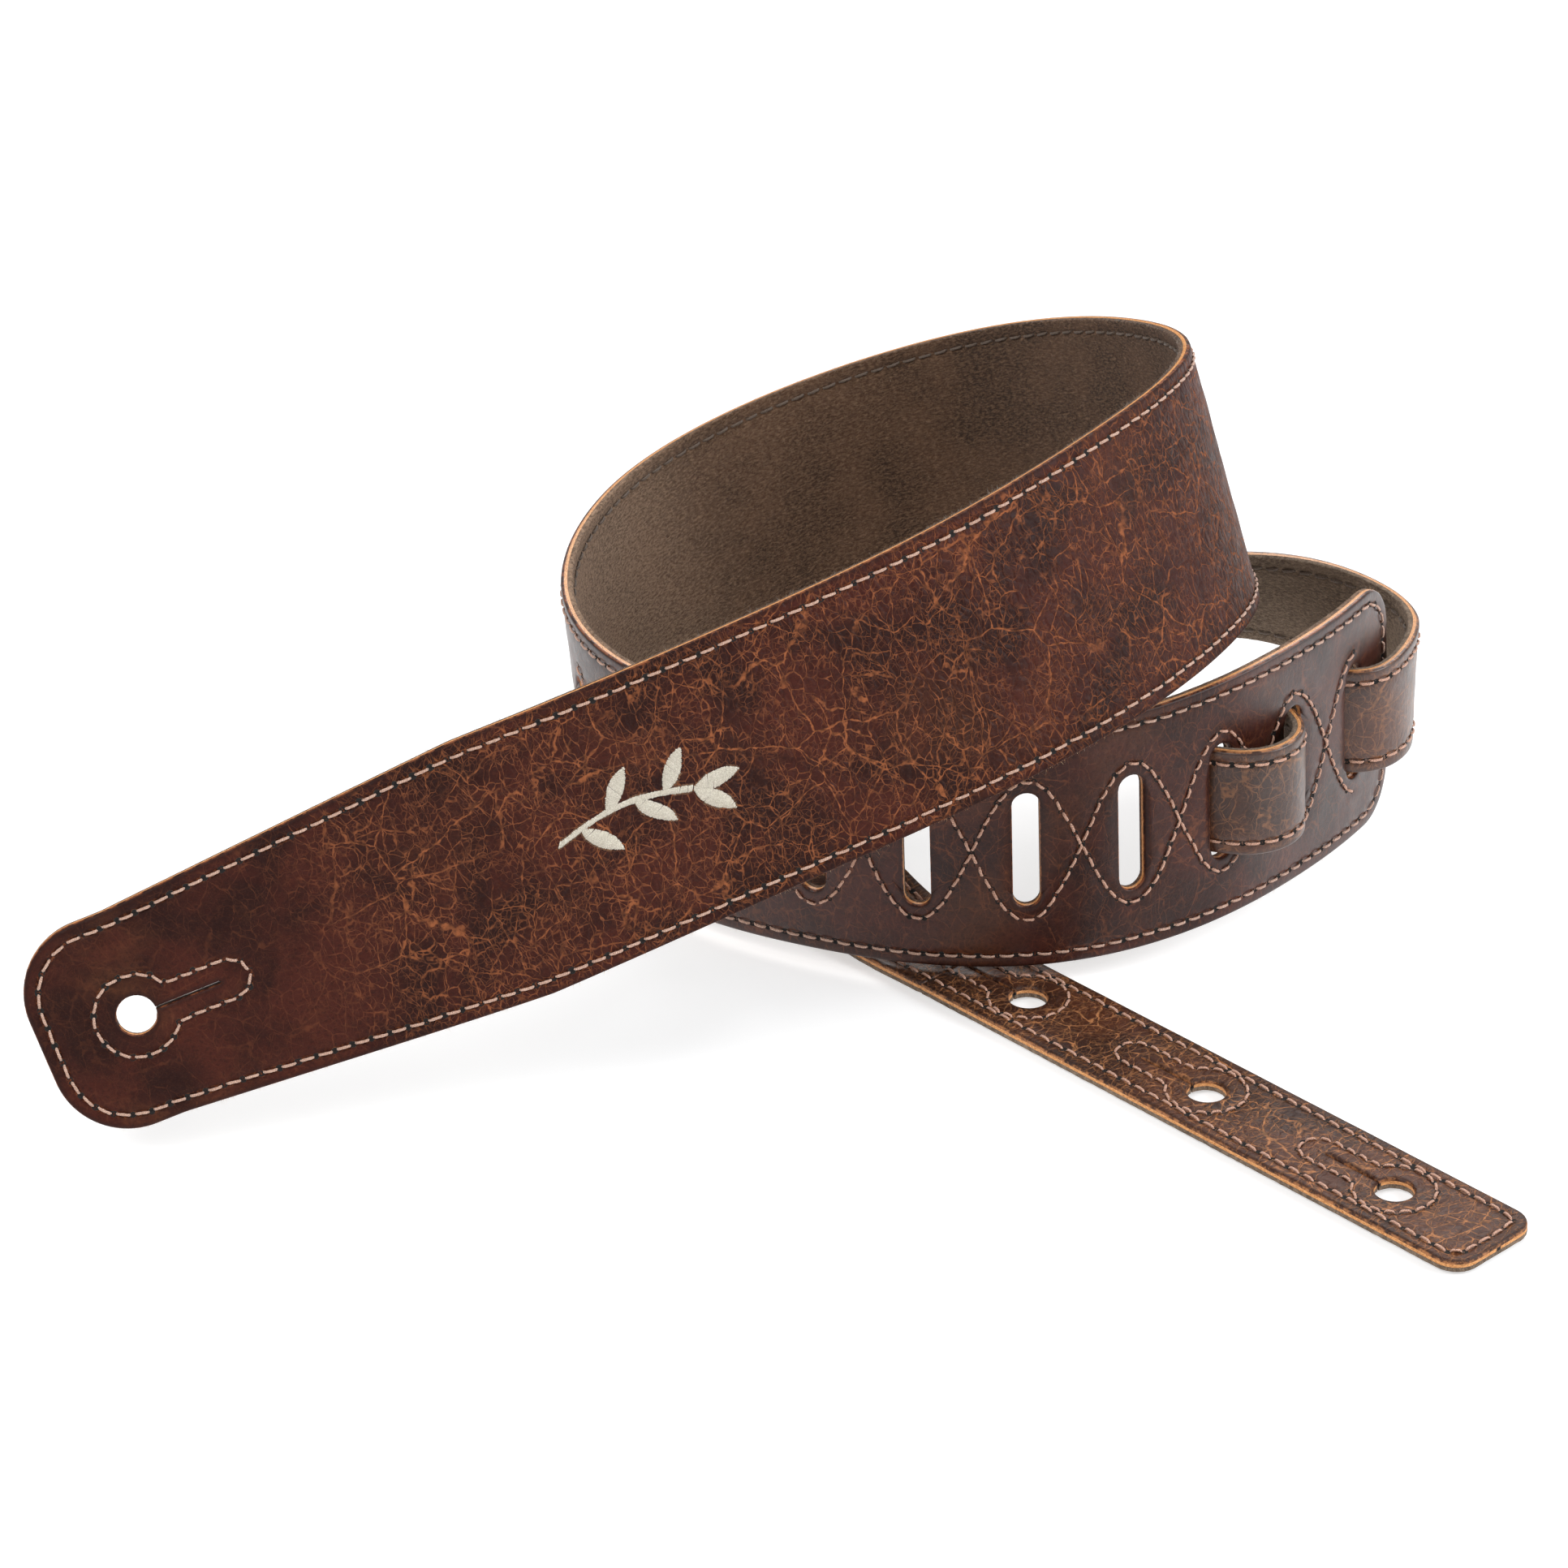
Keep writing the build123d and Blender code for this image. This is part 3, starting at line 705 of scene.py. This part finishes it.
def leather(name, colours, cracks_along, pebble, wax_along, shine, slits):
    """Waxed, crackled brown leather: mottling, fine grain, pale cracks, worn edges, raw cut sides, and
    painted shade inside the slits.
    """
    dark, mid, light, vein = colours
    s = Shader(name)
    place = s.field("flat")
    rim = s.field("rim", "Fac")
    seam = s.field("seam", "Fac")
    axes = s.add("ShaderNodeSeparateXYZ")
    s.set(axes, 0, place)
    distance, across, out = axes.outputs
    strength = curve_over(s, distance, cracks_along)

    mottle = s.between(s.noise(place, 0.045, 4, 0.55, 0.6), 0.36, 0.66)
    patches = s.between(s.noise(s.vector("ADD", place, (91, 17, 5)), 0.028, 5, 0.6), 0.50, 0.72)
    speckle = s.noise(place, 2.6, 5, 0.7)
    base = s.mix(mottle, dark, mid)
    plainness = s.maths("SUBTRACT", 0.8, s.maths("MULTIPLY", strength, 0.55))
    base = s.mix(s.maths("MULTIPLY", patches, plainness), base, light)
    base = s.mix(s.between(speckle, 0.50, 0.78, 0, 0.45), base, light)
    base = s.mix(s.between(s.noise(place, 1.1, 3, 0.6), 0.52, 0.30, 0, 0.55), base, dark)

    bent = s.warped(s.warped(place, 0.08, 5.0), 0.6, 0.9)
    stretched = s.vector("MULTIPLY", bent, (1.30, 0.82, 1.0))
    cracks = None
    for scale, half_width, threshold, weight, long in CRACKS:
        width = s.maths("MULTIPLY", s.between(s.noise(bent, 0.5, 2), 0.3, 0.7, 0.55, 1.5), half_width * scale)
        edges = s.cells(stretched if long else bent, scale)
        line = s.between(s.maths("DIVIDE", edges, width), 0.3, 1.2, 1.0, 0.0)
        offset = s.vector("ADD", place, (scale * 900, 40, 7))
        here = s.between(s.noise(offset, 0.04 + scale * 0.10, 3, 0.6), threshold - 0.05, threshold + 0.10)
        line = s.maths("MULTIPLY", s.maths("MULTIPLY", line, here), weight)
        cracks = line if cracks is None else s.maths("MAXIMUM", cracks, line)
    cracks = s.maths("MULTIPLY", cracks, strength)
    vein_colour = s.mix(s.between(s.noise(place, 0.6, 3), 0.35, 0.7), vein, light)
    base = s.mix(s.maths("MULTIPLY", cracks, 0.85), base, vein_colour)

    broken = s.between(s.noise(place, 1.7, 3, 0.7), 0.47, 0.66)
    puckered = s.maths("MULTIPLY", s.between(seam, 1.0, 0.35), broken)
    base = s.mix(s.maths("MULTIPLY", puckered, 0.5), base, vein)
    base = s.mix(s.between(rim, 1.5, 0.5, 0.0, 0.55), base, dark)
    rubbed = s.between(s.noise(place, 0.5, 4, 0.7), 0.42, 0.62)
    worn = s.maths("MULTIPLY", s.between(rim, 0.30, 0.05), rubbed)
    base = s.mix(s.maths("MULTIPLY", worn, 0.75), base, vein)
    fibre = s.noise(s.vector("MULTIPLY", place, (1.0, 1.0, 3.0)), 1.8, 5, 0.75)
    raw = s.mix(s.between(fibre, 0.35, 0.65), RAW_DARK, RAW_LIGHT)
    raw = s.mix(s.between(out, 0.75, 0.98), raw, dark)
    # painted shade: the cut walls of the slits are darkened to near black, where shade falls in the narrow
    # cut
    closed = s.maths("MULTIPLY", s.between(distance, slits[0], slits[0] + 1),
                     s.between(distance, slits[1], slits[1] + 1, 1, 0))
    closed = s.maths("MULTIPLY", closed, s.between(s.maths("ABSOLUTE", across), 0.5, 0.9, 1, 0))
    raw = s.mix(closed, raw, SLIT_PAINTED_SHADE)
    cut = s.between(rim, -0.05, -0.45)
    colour = s.mix(cut, base, raw)

    pebbles = s.between(s.cells(stretched, 0.34), 0.0, 0.28)
    grain = s.maths("MULTIPLY", pebbles, s.maths("MULTIPLY", strength, pebble))
    grain = s.maths("ADD", grain, s.maths("MULTIPLY", s.noise(place, 3.0, 4, 0.65), 0.40))
    grain = s.maths("ADD", grain, s.maths("MULTIPLY", s.noise(place, 0.55, 3, 0.55), 0.8))
    height = s.maths("SUBTRACT", grain, s.maths("MULTIPLY", cracks, 0.5))
    s.bump(height, 0.24, 0.85)
    rough = s.maths("ADD", s.between(s.noise(place, 0.35, 4, 0.6), 0.3, 0.7, 0.40, 0.56),
                    s.maths("MULTIPLY", s.maths("MAXIMUM", cracks, cut), 0.25))
    return s.finish(colour, rough, Specular_IOR_Level=shine, Coat_Weight=curve_over(s, distance, wax_along),
                    Coat_Roughness=0.36)


FLECK = (0.50, 0.38, 0.27)
PAINTED_LIGHT_NAP = (0.62, 0.42, 0.28)
TO_MILLIMETRES = (1000, 1000, 1000)


def suede(name, dark, mid, light, painted_light_along):
    """A matt nap of short fibres with pale flecks, and painted light that makes the nap paler along the
    strip.
    """
    s = Shader(name)
    place = s.field("flat")
    brushed = s.vector("MULTIPLY", s.warped(place, 0.4, 1.2), (1.0, 2.3, 1.0))
    clouds = s.noise(place, 0.05, 4, 0.6)
    nap = s.noise(brushed, 0.85, 7, 0.8)
    flecks = s.between(s.noise(s.vector("ADD", brushed, (31, 7, 3)), 3.1, 3, 0.7), 0.60, 0.72)
    colour = s.mix(s.between(clouds, 0.35, 0.65), dark, mid)
    colour = s.mix(s.between(nap, 0.42, 0.68), colour, light)
    colour = s.mix(s.between(nap, 0.42, 0.28, 0, 0.7), colour, dark)
    colour = s.mix(s.maths("MULTIPLY", flecks, 0.7), colour, FLECK)
    axes = s.add("ShaderNodeSeparateXYZ")
    s.set(axes, 0, place)
    # painted light: where the suede looks lit, the nap is mixed towards a pale tan by distance along the
    # strip
    painted_light = s.maths("MULTIPLY", curve_over(s, axes.outputs[0], painted_light_along), 0.55)
    colour = s.mix(painted_light, colour, s.mix(s.between(nap, 0.3, 0.65), mid, PAINTED_LIGHT_NAP))
    s.bump(s.maths("ADD", nap, s.maths("MULTIPLY", s.noise(brushed, 5.0, 3, 0.7), 0.5)), 0.45)
    return s.finish(colour, s.between(nap, 0.3, 0.7, 0.86, 1.0), Sheen_Weight=0.10, Sheen_Roughness=0.5,
                    Specular_IOR_Level=0.15)


def thread(name, colour, shade):
    """Twisted waxed thread, with painted shade in the grooves between its plies."""
    s = Shader(name)
    lay = s.field("lay")
    axes = s.add("ShaderNodeSeparateXYZ")
    s.set(axes, 0, lay)
    turn = s.maths("ADD", s.maths("MULTIPLY", axes.outputs[0], 1.0), axes.outputs[1])
    ply = s.maths("ABSOLUTE", s.maths("SINE", s.maths("MULTIPLY", turn, math.tau)))
    place = s.vector("MULTIPLY", s.add("ShaderNodeTexCoord").outputs["Object"], TO_MILLIMETRES)
    fuzz = s.noise(place, 4.0, 4, 0.7)
    groove = s.between(ply, 0.05, 0.45)
    tint = s.mix(s.between(fuzz, 0.35, 0.7), shade, colour)
    tint = s.mix(s.between(axes.outputs[2], 0.0, 1.0, 0.0, 0.22), tint, shade)
    # painted shade: the grooves between the plies are darkened towards the shade colour
    tint = s.mix(s.maths("SUBTRACT", 0.75, s.maths("MULTIPLY", groove, 0.75)), tint, shade)
    s.bump(s.maths("ADD", groove, s.maths("MULTIPLY", fuzz, 0.5)), 0.12)
    return s.finish(tint, s.between(fuzz, 0.3, 0.7, 0.55, 0.8), Sheen_Weight=0.2)


def plain_noise(name, low, high, scale, rough):
    """A small surface with two tones of fine noise."""
    s = Shader(name)
    place = s.vector("MULTIPLY", s.add("ShaderNodeTexCoord").outputs["Object"], TO_MILLIMETRES)
    grain = s.noise(place, scale, 4, 0.7)
    s.bump(grain, 0.1)
    colour = s.mix(s.between(grain, 0.35, 0.65), low, high)
    return s.finish(colour, s.between(grain, 0.2, 0.8, rough - 0.1, rough))


# Dark, middle and light brown, and the colour inside a crack.
STRAP_BROWNS = ((0.019, 0.0045, 0.0032), (0.054, 0.0112, 0.0066), (0.105, 0.036, 0.015), (0.35, 0.112, 0.042))
TAIL_BROWNS = ((0.028, 0.0085, 0.0045), (0.076, 0.022, 0.0095), (0.16, 0.070, 0.025), (0.54, 0.220, 0.082))
# Strengths at distances along a strip: of its cracks, of its wax shine, and of the painted light on its
# suede's nap.
STRAP_CRACKED = [(0, 0.10), (50, 0.16), (78, 0.65), (110, 0.95), (330, 1.0), (420, 0.7), (560, 0.42),
                 (850, 0.34)]
STRAP_WAXED = [(0, 0.0), (400, 0.08), (470, 0.4), (640, 0.9), (710, 0.3), (765, 0.3), (805, 1.0), (850, 1.0)]
STRAP_SUEDE_PAINTED_LIGHT = [(0, 0.2), (380, 0.0), (500, 0.1), (555, 1.0), (620, 1.0), (680, 0.3), (790, 0.5), (850, 1.0)]
TAIL_CRACKED = [(-45, 0.4), (100, 0.5), (350, 0.8), (380, 1.0), (500, 1.0), (545, 0.9)]
TAIL_WAXED = [(-45, 0.9), (200, 0.9), (380, 0.25), (545, 0.1)]
TAIL_SUEDE_PAINTED_LIGHT = [(-45, 0.3), (545, 0.4)]
STRAP_SLITS = (14, 60)      # the slits, whose cut walls get painted shade, lie between these two distances
TAIL_SLITS = (377, 549)

strap_leather = leather("strap_leather", STRAP_BROWNS, STRAP_CRACKED, 0.8, STRAP_WAXED, 0.14, STRAP_SLITS)
tail_leather = leather("tail_leather", TAIL_BROWNS, TAIL_CRACKED, 1.0, TAIL_WAXED, 0.25, TAIL_SLITS)
strap_suede = suede("strap_suede", (0.038, 0.0175, 0.0085), (0.100, 0.050, 0.027), (0.26, 0.150, 0.088),
                    STRAP_SUEDE_PAINTED_LIGHT)
tail_suede = suede("tail_suede", (0.06, 0.040, 0.026), (0.15, 0.105, 0.072), (0.30, 0.225, 0.165),
                   TAIL_SUEDE_PAINTED_LIGHT)
pale_thread = thread("pale_thread", (0.80, 0.56, 0.44), (0.42, 0.23, 0.16))
salmon_thread = thread("salmon_thread", (0.88, 0.55, 0.41), (0.46, 0.23, 0.15))
sunk_thread = thread("sunk_thread", (0.20, 0.14, 0.10), (0.08, 0.052, 0.034))
satin_thread = thread("satin_thread", (0.90, 0.85, 0.74), (0.52, 0.46, 0.36))
hole_rim = plain_noise("needle_rim", (0.035, 0.012, 0.006), (0.20, 0.085, 0.03), 3.0, 0.6)
# painted shade: a near-black material standing in for the shadow inside each needle hole
needle_pit_shade = plain_noise("needle_pit_painted_shade", (0.002, 0.001, 0.001), (0.008, 0.004, 0.003), 2.0, 0.9)
fibre_tan = plain_noise("tan_fibre", (0.42, 0.19, 0.07), (0.85, 0.62, 0.38), 1.0, 0.9)
fibre_grey = plain_noise("grey_fibre", (0.20, 0.17, 0.14), (0.48, 0.42, 0.36), 1.0, 0.95)

# ---- the band ----------------------------------------------------------------------------------

strap_outline = strip_outline(TIP_SETBACK, STRAP_LENGTH, strap_half_width, TIP_CORNER, END_CORNER)
front_keyhole = keyhole_path(HOLE_DISTANCE, 0)
waves = [wave_path(side) for side in (1, -1)]
strap_seam = moved_in(resampled(strap_outline, 1.0), SEAM_INSET)
strap_holes = [hole_outline(HOLE_DISTANCE, 0)] + [slot_outline(slot) for slot in slots]
strap_sheet = Sheet(strap_outline, strap_holes,
                    [(strap_seam, True), (front_keyhole, True), (waves[0], False), (waves[1], False)])
leather_layer("band_face_leather", strap, strap_sheet, strap_leather, TIP_FLEX,
              ("strap_face_leather", "front_tip_face_leather"), 3)
suede_layer("band_suede_lining", strap, strap_sheet, strap_suede, TIP_FLEX,
            ("strap_suede_lining", "front_tip_suede_lining"), 5)

THREADS = [pale_thread, hole_rim, needle_pit_shade]
SALMON_THREADS = [salmon_thread, hole_rim, needle_pit_shade]
edge_stitches = stitch_points(strap_seam, STITCH, True, 0.05)
keyhole_stitches = stitch_points(front_keyhole, KEYHOLE_STITCH, True)
wave_stitches = [stitch_points(wave, KEYHOLE_STITCH, False, 0.10) for wave in waves]
sewn("band_edge_stitching", strap, [(edge_stitches, True)], FACE, 1, THREADS, TIP_FLEX,
     ("strap_edge_stitching", "front_tip_edge_stitching"))
sewn("front_keyhole_stitching", strap, [(keyhole_stitches, True)], FACE, 1, THREADS, TIP_FLEX,
     ("front_button_hole_stitching",))
sewn("slot_wave_threads", strap, [(line, False) for line in wave_stitches], FACE, 1, SALMON_THREADS, None,
     ("slot_wave_stitching_a", "slot_wave_stitching_b"))
sewn("band_bobbin_thread", strap,
     [(edge_stitches, True), (keyhole_stitches, True)] + [(line, False) for line in wave_stitches],
     -LINING, -1, [sunk_thread], TIP_FLEX,
     ("strap_edge_bobbin_thread", "front_tip_bobbin_thread"))

# ---- the tail ----------------------------------------------------------------------------------

tail_keyholes = [keyhole_path(distance, 180) for distance in TAIL_HOLES]
tail_outline = strip_outline(TAIL_INNER_END, TAIL_LENGTH, tail_half_width, SQUARE_CORNER, TAIL_CORNER)
tail_seam = moved_in(resampled(tail_outline, 1.0), SEAM_INSET)
tail_seams = [(tail_seam, True)] + [(path, True) for path in tail_keyholes]
loop_outline = strip_outline(TAIL_INNER_END, TAIL_SPLIT, tail_half_width, SQUARE_CORNER, CUT_CORNER)
flat_outline = strip_outline(TAIL_SPLIT, TAIL_LENGTH, tail_half_width, CUT_CORNER, TAIL_CORNER)
loop_sheet = Sheet(loop_outline, [], tail_seams)
flat_sheet = Sheet(flat_outline, [hole_outline(distance, 180) for distance in TAIL_HOLES], tail_seams)
leather_layer("tail_loop_leather", tail, loop_sheet, tail_leather, None,
              ("tail_face_leather",), 21)
suede_layer("tail_loop_suede", tail, loop_sheet, tail_suede, None,
            ("tail_suede_lining",), 22)
leather_layer("tail_flat_leather", tail, flat_sheet, tail_leather, TAIL_FLEX,
              ("tail_end_face_leather",), 23)
suede_layer("tail_flat_suede", tail, flat_sheet, tail_suede, TAIL_FLEX,
            ("tail_end_suede_lining",), 24)

tail_stitches = stitch_points(tail_seam, STITCH, True, 0.05)
flat_part = tail_stitches[:, 0] > TAIL_SPLIT + 1
turn_in = int(np.flatnonzero(~flat_part & np.roll(flat_part, -1))[0]) + 1
rolled = np.roll(tail_stitches, -turn_in, 0)
flat_count = int(flat_part.sum())
flat_run, loop_run = rolled[:flat_count], np.vstack((rolled[flat_count - 1:], rolled[:1]))
tail_keyhole_stitches = [stitch_points(path, KEYHOLE_STITCH, True) for path in tail_keyholes]
sewn("tail_loop_stitching", tail, [(loop_run, False)], FACE, 1, SALMON_THREADS, None,
     ("tail_edge_stitching",))
sewn("tail_loop_bobbin", tail, [(loop_run, False)], -LINING, -1, [sunk_thread], None,
     ("tail_edge_bobbin_thread",))
sewn("tail_flat_stitching", tail, [(flat_run, False)], FACE, 1, SALMON_THREADS, TAIL_FLEX,
     ("tail_end_edge_stitching",))
for number, line in enumerate(tail_keyhole_stitches, 1):
    sewn(f"tail_keyhole_stitching_{number}", tail, [(line, True)], FACE, 1, SALMON_THREADS, TAIL_FLEX,
         (f"tail_button_hole_stitching_{number}",))
sewn("tail_flat_bobbin", tail, [(flat_run, False)] + [(line, True) for line in tail_keyhole_stitches],
     -LINING, -1, [sunk_thread], TAIL_FLEX, ("tail_end_bobbin_thread",))

# ---- the embroidered sprig ---------------------------------------------------------------------

SATIN_GAP = 0.36
SATIN_RADIUS = 0.21
SATIN_SIDES = 6
SATIN_RINGS = 7
SATIN_SLANT = 0.35


def sprig_stem(distance):
    return SPRIG_SWAY * math.sin(math.pi * (distance - SPRIG_START) / SPRIG_LENGTH)


def satin_rows():
    """Both ends of every satin stitch: short slanted ones up the stem, longer ones in the leaves."""
    rows = []
    for distance in np.arange(SPRIG_START, SPRIG_START + SPRIG_LENGTH, SATIN_GAP):
        middle = np.array((distance, sprig_stem(distance)))
        reach = np.array((0.45, 0.72))
        rows.append((middle - reach, middle + reach))
    leaf_count = math.ceil((SPRIG_LENGTH - LEAF_LENGTH / 2) / LEAF_GAP)
    feet = np.linspace(SPRIG_START + LEAF_LENGTH / 2, SPRIG_START + SPRIG_LENGTH, leaf_count + 1)
    leaves = [(foot, LEAF_ANGLE * (1 if number % 2 else -1)) for number, foot in enumerate(feet)]
    drop = math.sqrt(LEAF_ARC ** 2 - (LEAF_LENGTH / 2) ** 2)
    for foot, turn in leaves + [(SPRIG_START + SPRIG_LENGTH, 0)]:
        angle = math.radians(turn)
        ahead = np.array((math.cos(angle), math.sin(angle)))
        aside = np.array((-math.sin(angle), math.cos(angle)))
        start = np.array((foot, sprig_stem(foot)))
        for reach in np.arange(0.35, LEAF_LENGTH - 0.2, SATIN_GAP):
            half = math.sqrt(LEAF_ARC ** 2 - (reach - LEAF_LENGTH / 2) ** 2) - drop
            rows.append((start + ahead * (reach - SATIN_SLANT * half) - aside * half,
                         start + ahead * (reach + SATIN_SLANT * half) + aside * half))
    return rows


def satin(name, strip, rows, materials):
    """Satin stitches side by side, with a small pricked disc at both ends of each."""
    points, faces, lay, flags = [], [], [], []
    total = 0
    turns = np.linspace(0, 1, SATIN_RINGS)
    around = np.arange(SATIN_SIDES) * math.tau / SATIN_SIDES
    for start, end in rows:
        start, end = start + rng.normal(0, 0.05, 2), end + rng.normal(0, 0.05, 2)
        step = end - start
        length = max(np.linalg.norm(step), 0.5)
        ahead = step / length
        aside = np.array((-ahead[1], ahead[0]))
        number = rng.uniform(0, 1)
        rise = 0.12 + min(0.32, 0.10 * length)
        middle = start + turns[:, None] * step
        height = FACE - 0.12 + rise * (1 - np.abs(2 * turns - 1) ** 3)
        flat = middle[:, None, :] + (np.cos(around) * SATIN_RADIUS)[None, :, None] * aside
        out = height[:, None] + np.sin(around)[None, :] * SATIN_RADIUS * 2 / 3
        points.append(strip.place(flat[..., 0].ravel(), flat[..., 1].ravel(), out.ravel()))
        stitch = tube(total, SATIN_RINGS, SATIN_SIDES)
        faces += stitch
        flags += [0] * len(stitch)
        lay.append(np.column_stack((np.repeat(turns * length, SATIN_SIDES),
                                    np.tile(around / math.tau, SATIN_RINGS),
                                    np.full(SATIN_RINGS * SATIN_SIDES, number))))
        total += SATIN_RINGS * SATIN_SIDES
        for spot in (start - ahead * 0.12, end + ahead * 0.12):
            reach = rng.uniform(0.20, 0.34)
            flat = np.column_stack((spot[0] + reach * np.cos(around), spot[1] + reach * np.sin(around)))
            disc = np.vstack((flat, flat))
            levels = np.repeat((FACE + 0.03, FACE - 0.3), SATIN_SIDES)
            points.append(strip.place(disc[:, 0], disc[:, 1], levels))
            faces += tube(total, 2, SATIN_SIDES)
            flags += [1] * (SATIN_SIDES + 2)
            lay.append(np.zeros((2 * SATIN_SIDES, 3)))
            total += 2 * SATIN_SIDES
    new_piece(name, np.vstack(points), faces, materials, "strap", None,
              ("embroidered_sprig",), [("lay", np.vstack(lay))], flags)


satin("satin_leaf_sprig", strap, satin_rows(), [satin_thread, hole_rim])

# ---- loose fibres on the cut edges -------------------------------------------------------------


def edge_fibres(name, strip, outline, count, outs, reach, material, flex, seed):
    """Fibres that stand out of a strip's cut edges."""
    fibre_rng = np.random.default_rng(seed)
    line = resampled(outline, 0.5)
    outward = line - moved_in(line, 1.0)
    chosen = fibre_rng.integers(0, len(line), count)
    clumps = np.sin(line[chosen, 0] * 0.21 + seed) * np.sin(line[chosen, 0] * 0.077)
    chosen = chosen[clumps + fibre_rng.uniform(-0.6, 0.6, count) > -0.35]
    count = len(chosen)
    sideways = np.stack((-outward[chosen, 1], outward[chosen, 0]), axis=1)
    sideways = sideways * fibre_rng.normal(0, 0.9, count)[:, None]
    tilt = fibre_rng.normal(0, 0.5, count)
    directions = np.column_stack((outward[chosen] + sideways, tilt))
    directions /= np.linalg.norm(directions, axis=1)[:, None]
    lengths = fibre_rng.gamma(2.2, reach / 2.2, count).clip(0.15, 1.6)
    roots = line[chosen] - outward[chosen] * 0.1
    fibres(name, strip, roots, directions, fibre_rng.uniform(*outs, count), lengths, material, flex)


SUEDE_SIDE = (-1.25, -0.1)  # where fibres grow on a cut edge, above and below the glue line
LEATHER_SIDE = (0.0, 0.85)
edge_fibres("band_edge_fuzz", strap, strap_outline, 6500, SUEDE_SIDE, 0.48, fibre_grey, TIP_FLEX,
            31)
edge_fibres("band_raw_fibres", strap, strap_outline, 5200, LEATHER_SIDE, 0.50, fibre_tan, TIP_FLEX,
            32)
edge_fibres("tail_loop_fuzz", tail, loop_outline, 2600, SUEDE_SIDE, 0.38, fibre_grey, None,
            33)
edge_fibres("tail_flat_fuzz", tail, flat_outline, 900, (-1.0, -0.1), 0.32, fibre_grey, TAIL_FLEX,
            34)

# ---- floor, light and camera -------------------------------------------------------------------

floor_mesh = bpy.data.meshes.new("floor")
floor_mesh.from_pydata([(-6, -6, 0), (6, -6, 0), (6, 8, 0), (-6, 8, 0)], [], [(0, 1, 2, 3)])
floor = bpy.data.objects.new("floor", floor_mesh)
floor.location.z = cad_box[0][2] - 0.0004
bpy.context.scene.collection.objects.link(floor)
floor_shader = Shader("floor_paper")
grain = floor_shader.noise(floor_shader.add("ShaderNodeTexCoord").outputs["Object"], 900.0, 3, 0.6)
floor_shader.bump(grain, 0.02, 0.3)
paper = floor_shader.mix(grain, (0.60, 0.60, 0.60), (0.62, 0.62, 0.62))
floor_mesh.materials.append(floor_shader.finish(paper, 0.95, Specular_IOR_Level=0.1,
                                                Emission_Strength=0.55, Emission_Color=(1.0, 1.0, 1.0, 1.0)))


def soft_light(name, place, size, power, colour=(1, 1, 1)):
    """A large rectangular lamp that faces the middle of the strap."""
    data = bpy.data.lights.new(name, "AREA")
    data.shape = "RECTANGLE"
    data.size, data.size_y = size
    data.energy = power
    data.color = colour
    light = bpy.data.objects.new(name, data)
    light.location = place
    light.rotation_euler = (Vector(AIM) - Vector(place)).to_track_quat("-Z", "Y").to_euler()
    bpy.context.scene.collection.objects.link(light)


AIM = (0.0, 0.0, 0.05)
soft_light("key", (-0.9, -0.9, 1.5), (1.0, 1.0), 24)
soft_light("right_box", (1.6, -0.3, 1.1), (1.3, 1.0), 30, (0.94, 0.97, 1.0))
soft_light("back_box", (0.2, 1.6, 1.4), (1.8, 0.8), 26)

world = bpy.data.worlds.new("studio")
world.use_nodes = True
surround = world.node_tree.nodes["Background"]
surround.inputs["Color"].default_value = (1, 1, 1, 1)
surround.inputs["Strength"].default_value = 0.25
bpy.context.scene.world = world
bpy.context.scene.view_settings.view_transform = "Standard"

CAMERA_PLACE = (0.0026, -1.2288, 0.7388)
CAMERA_TARGET = (0.0026, 0.0767, 0.0002)
camera_data = bpy.data.cameras.new("camera")
camera_data.lens = 139.54
camera_data.sensor_width = 36.0
camera = bpy.data.objects.new("camera", camera_data)
camera.location = CAMERA_PLACE
camera.rotation_euler = (Vector(CAMERA_TARGET) - Vector(CAMERA_PLACE)).to_track_quat("-Z", "Y").to_euler()
bpy.context.scene.collection.objects.link(camera)
bpy.context.scene.camera = camera
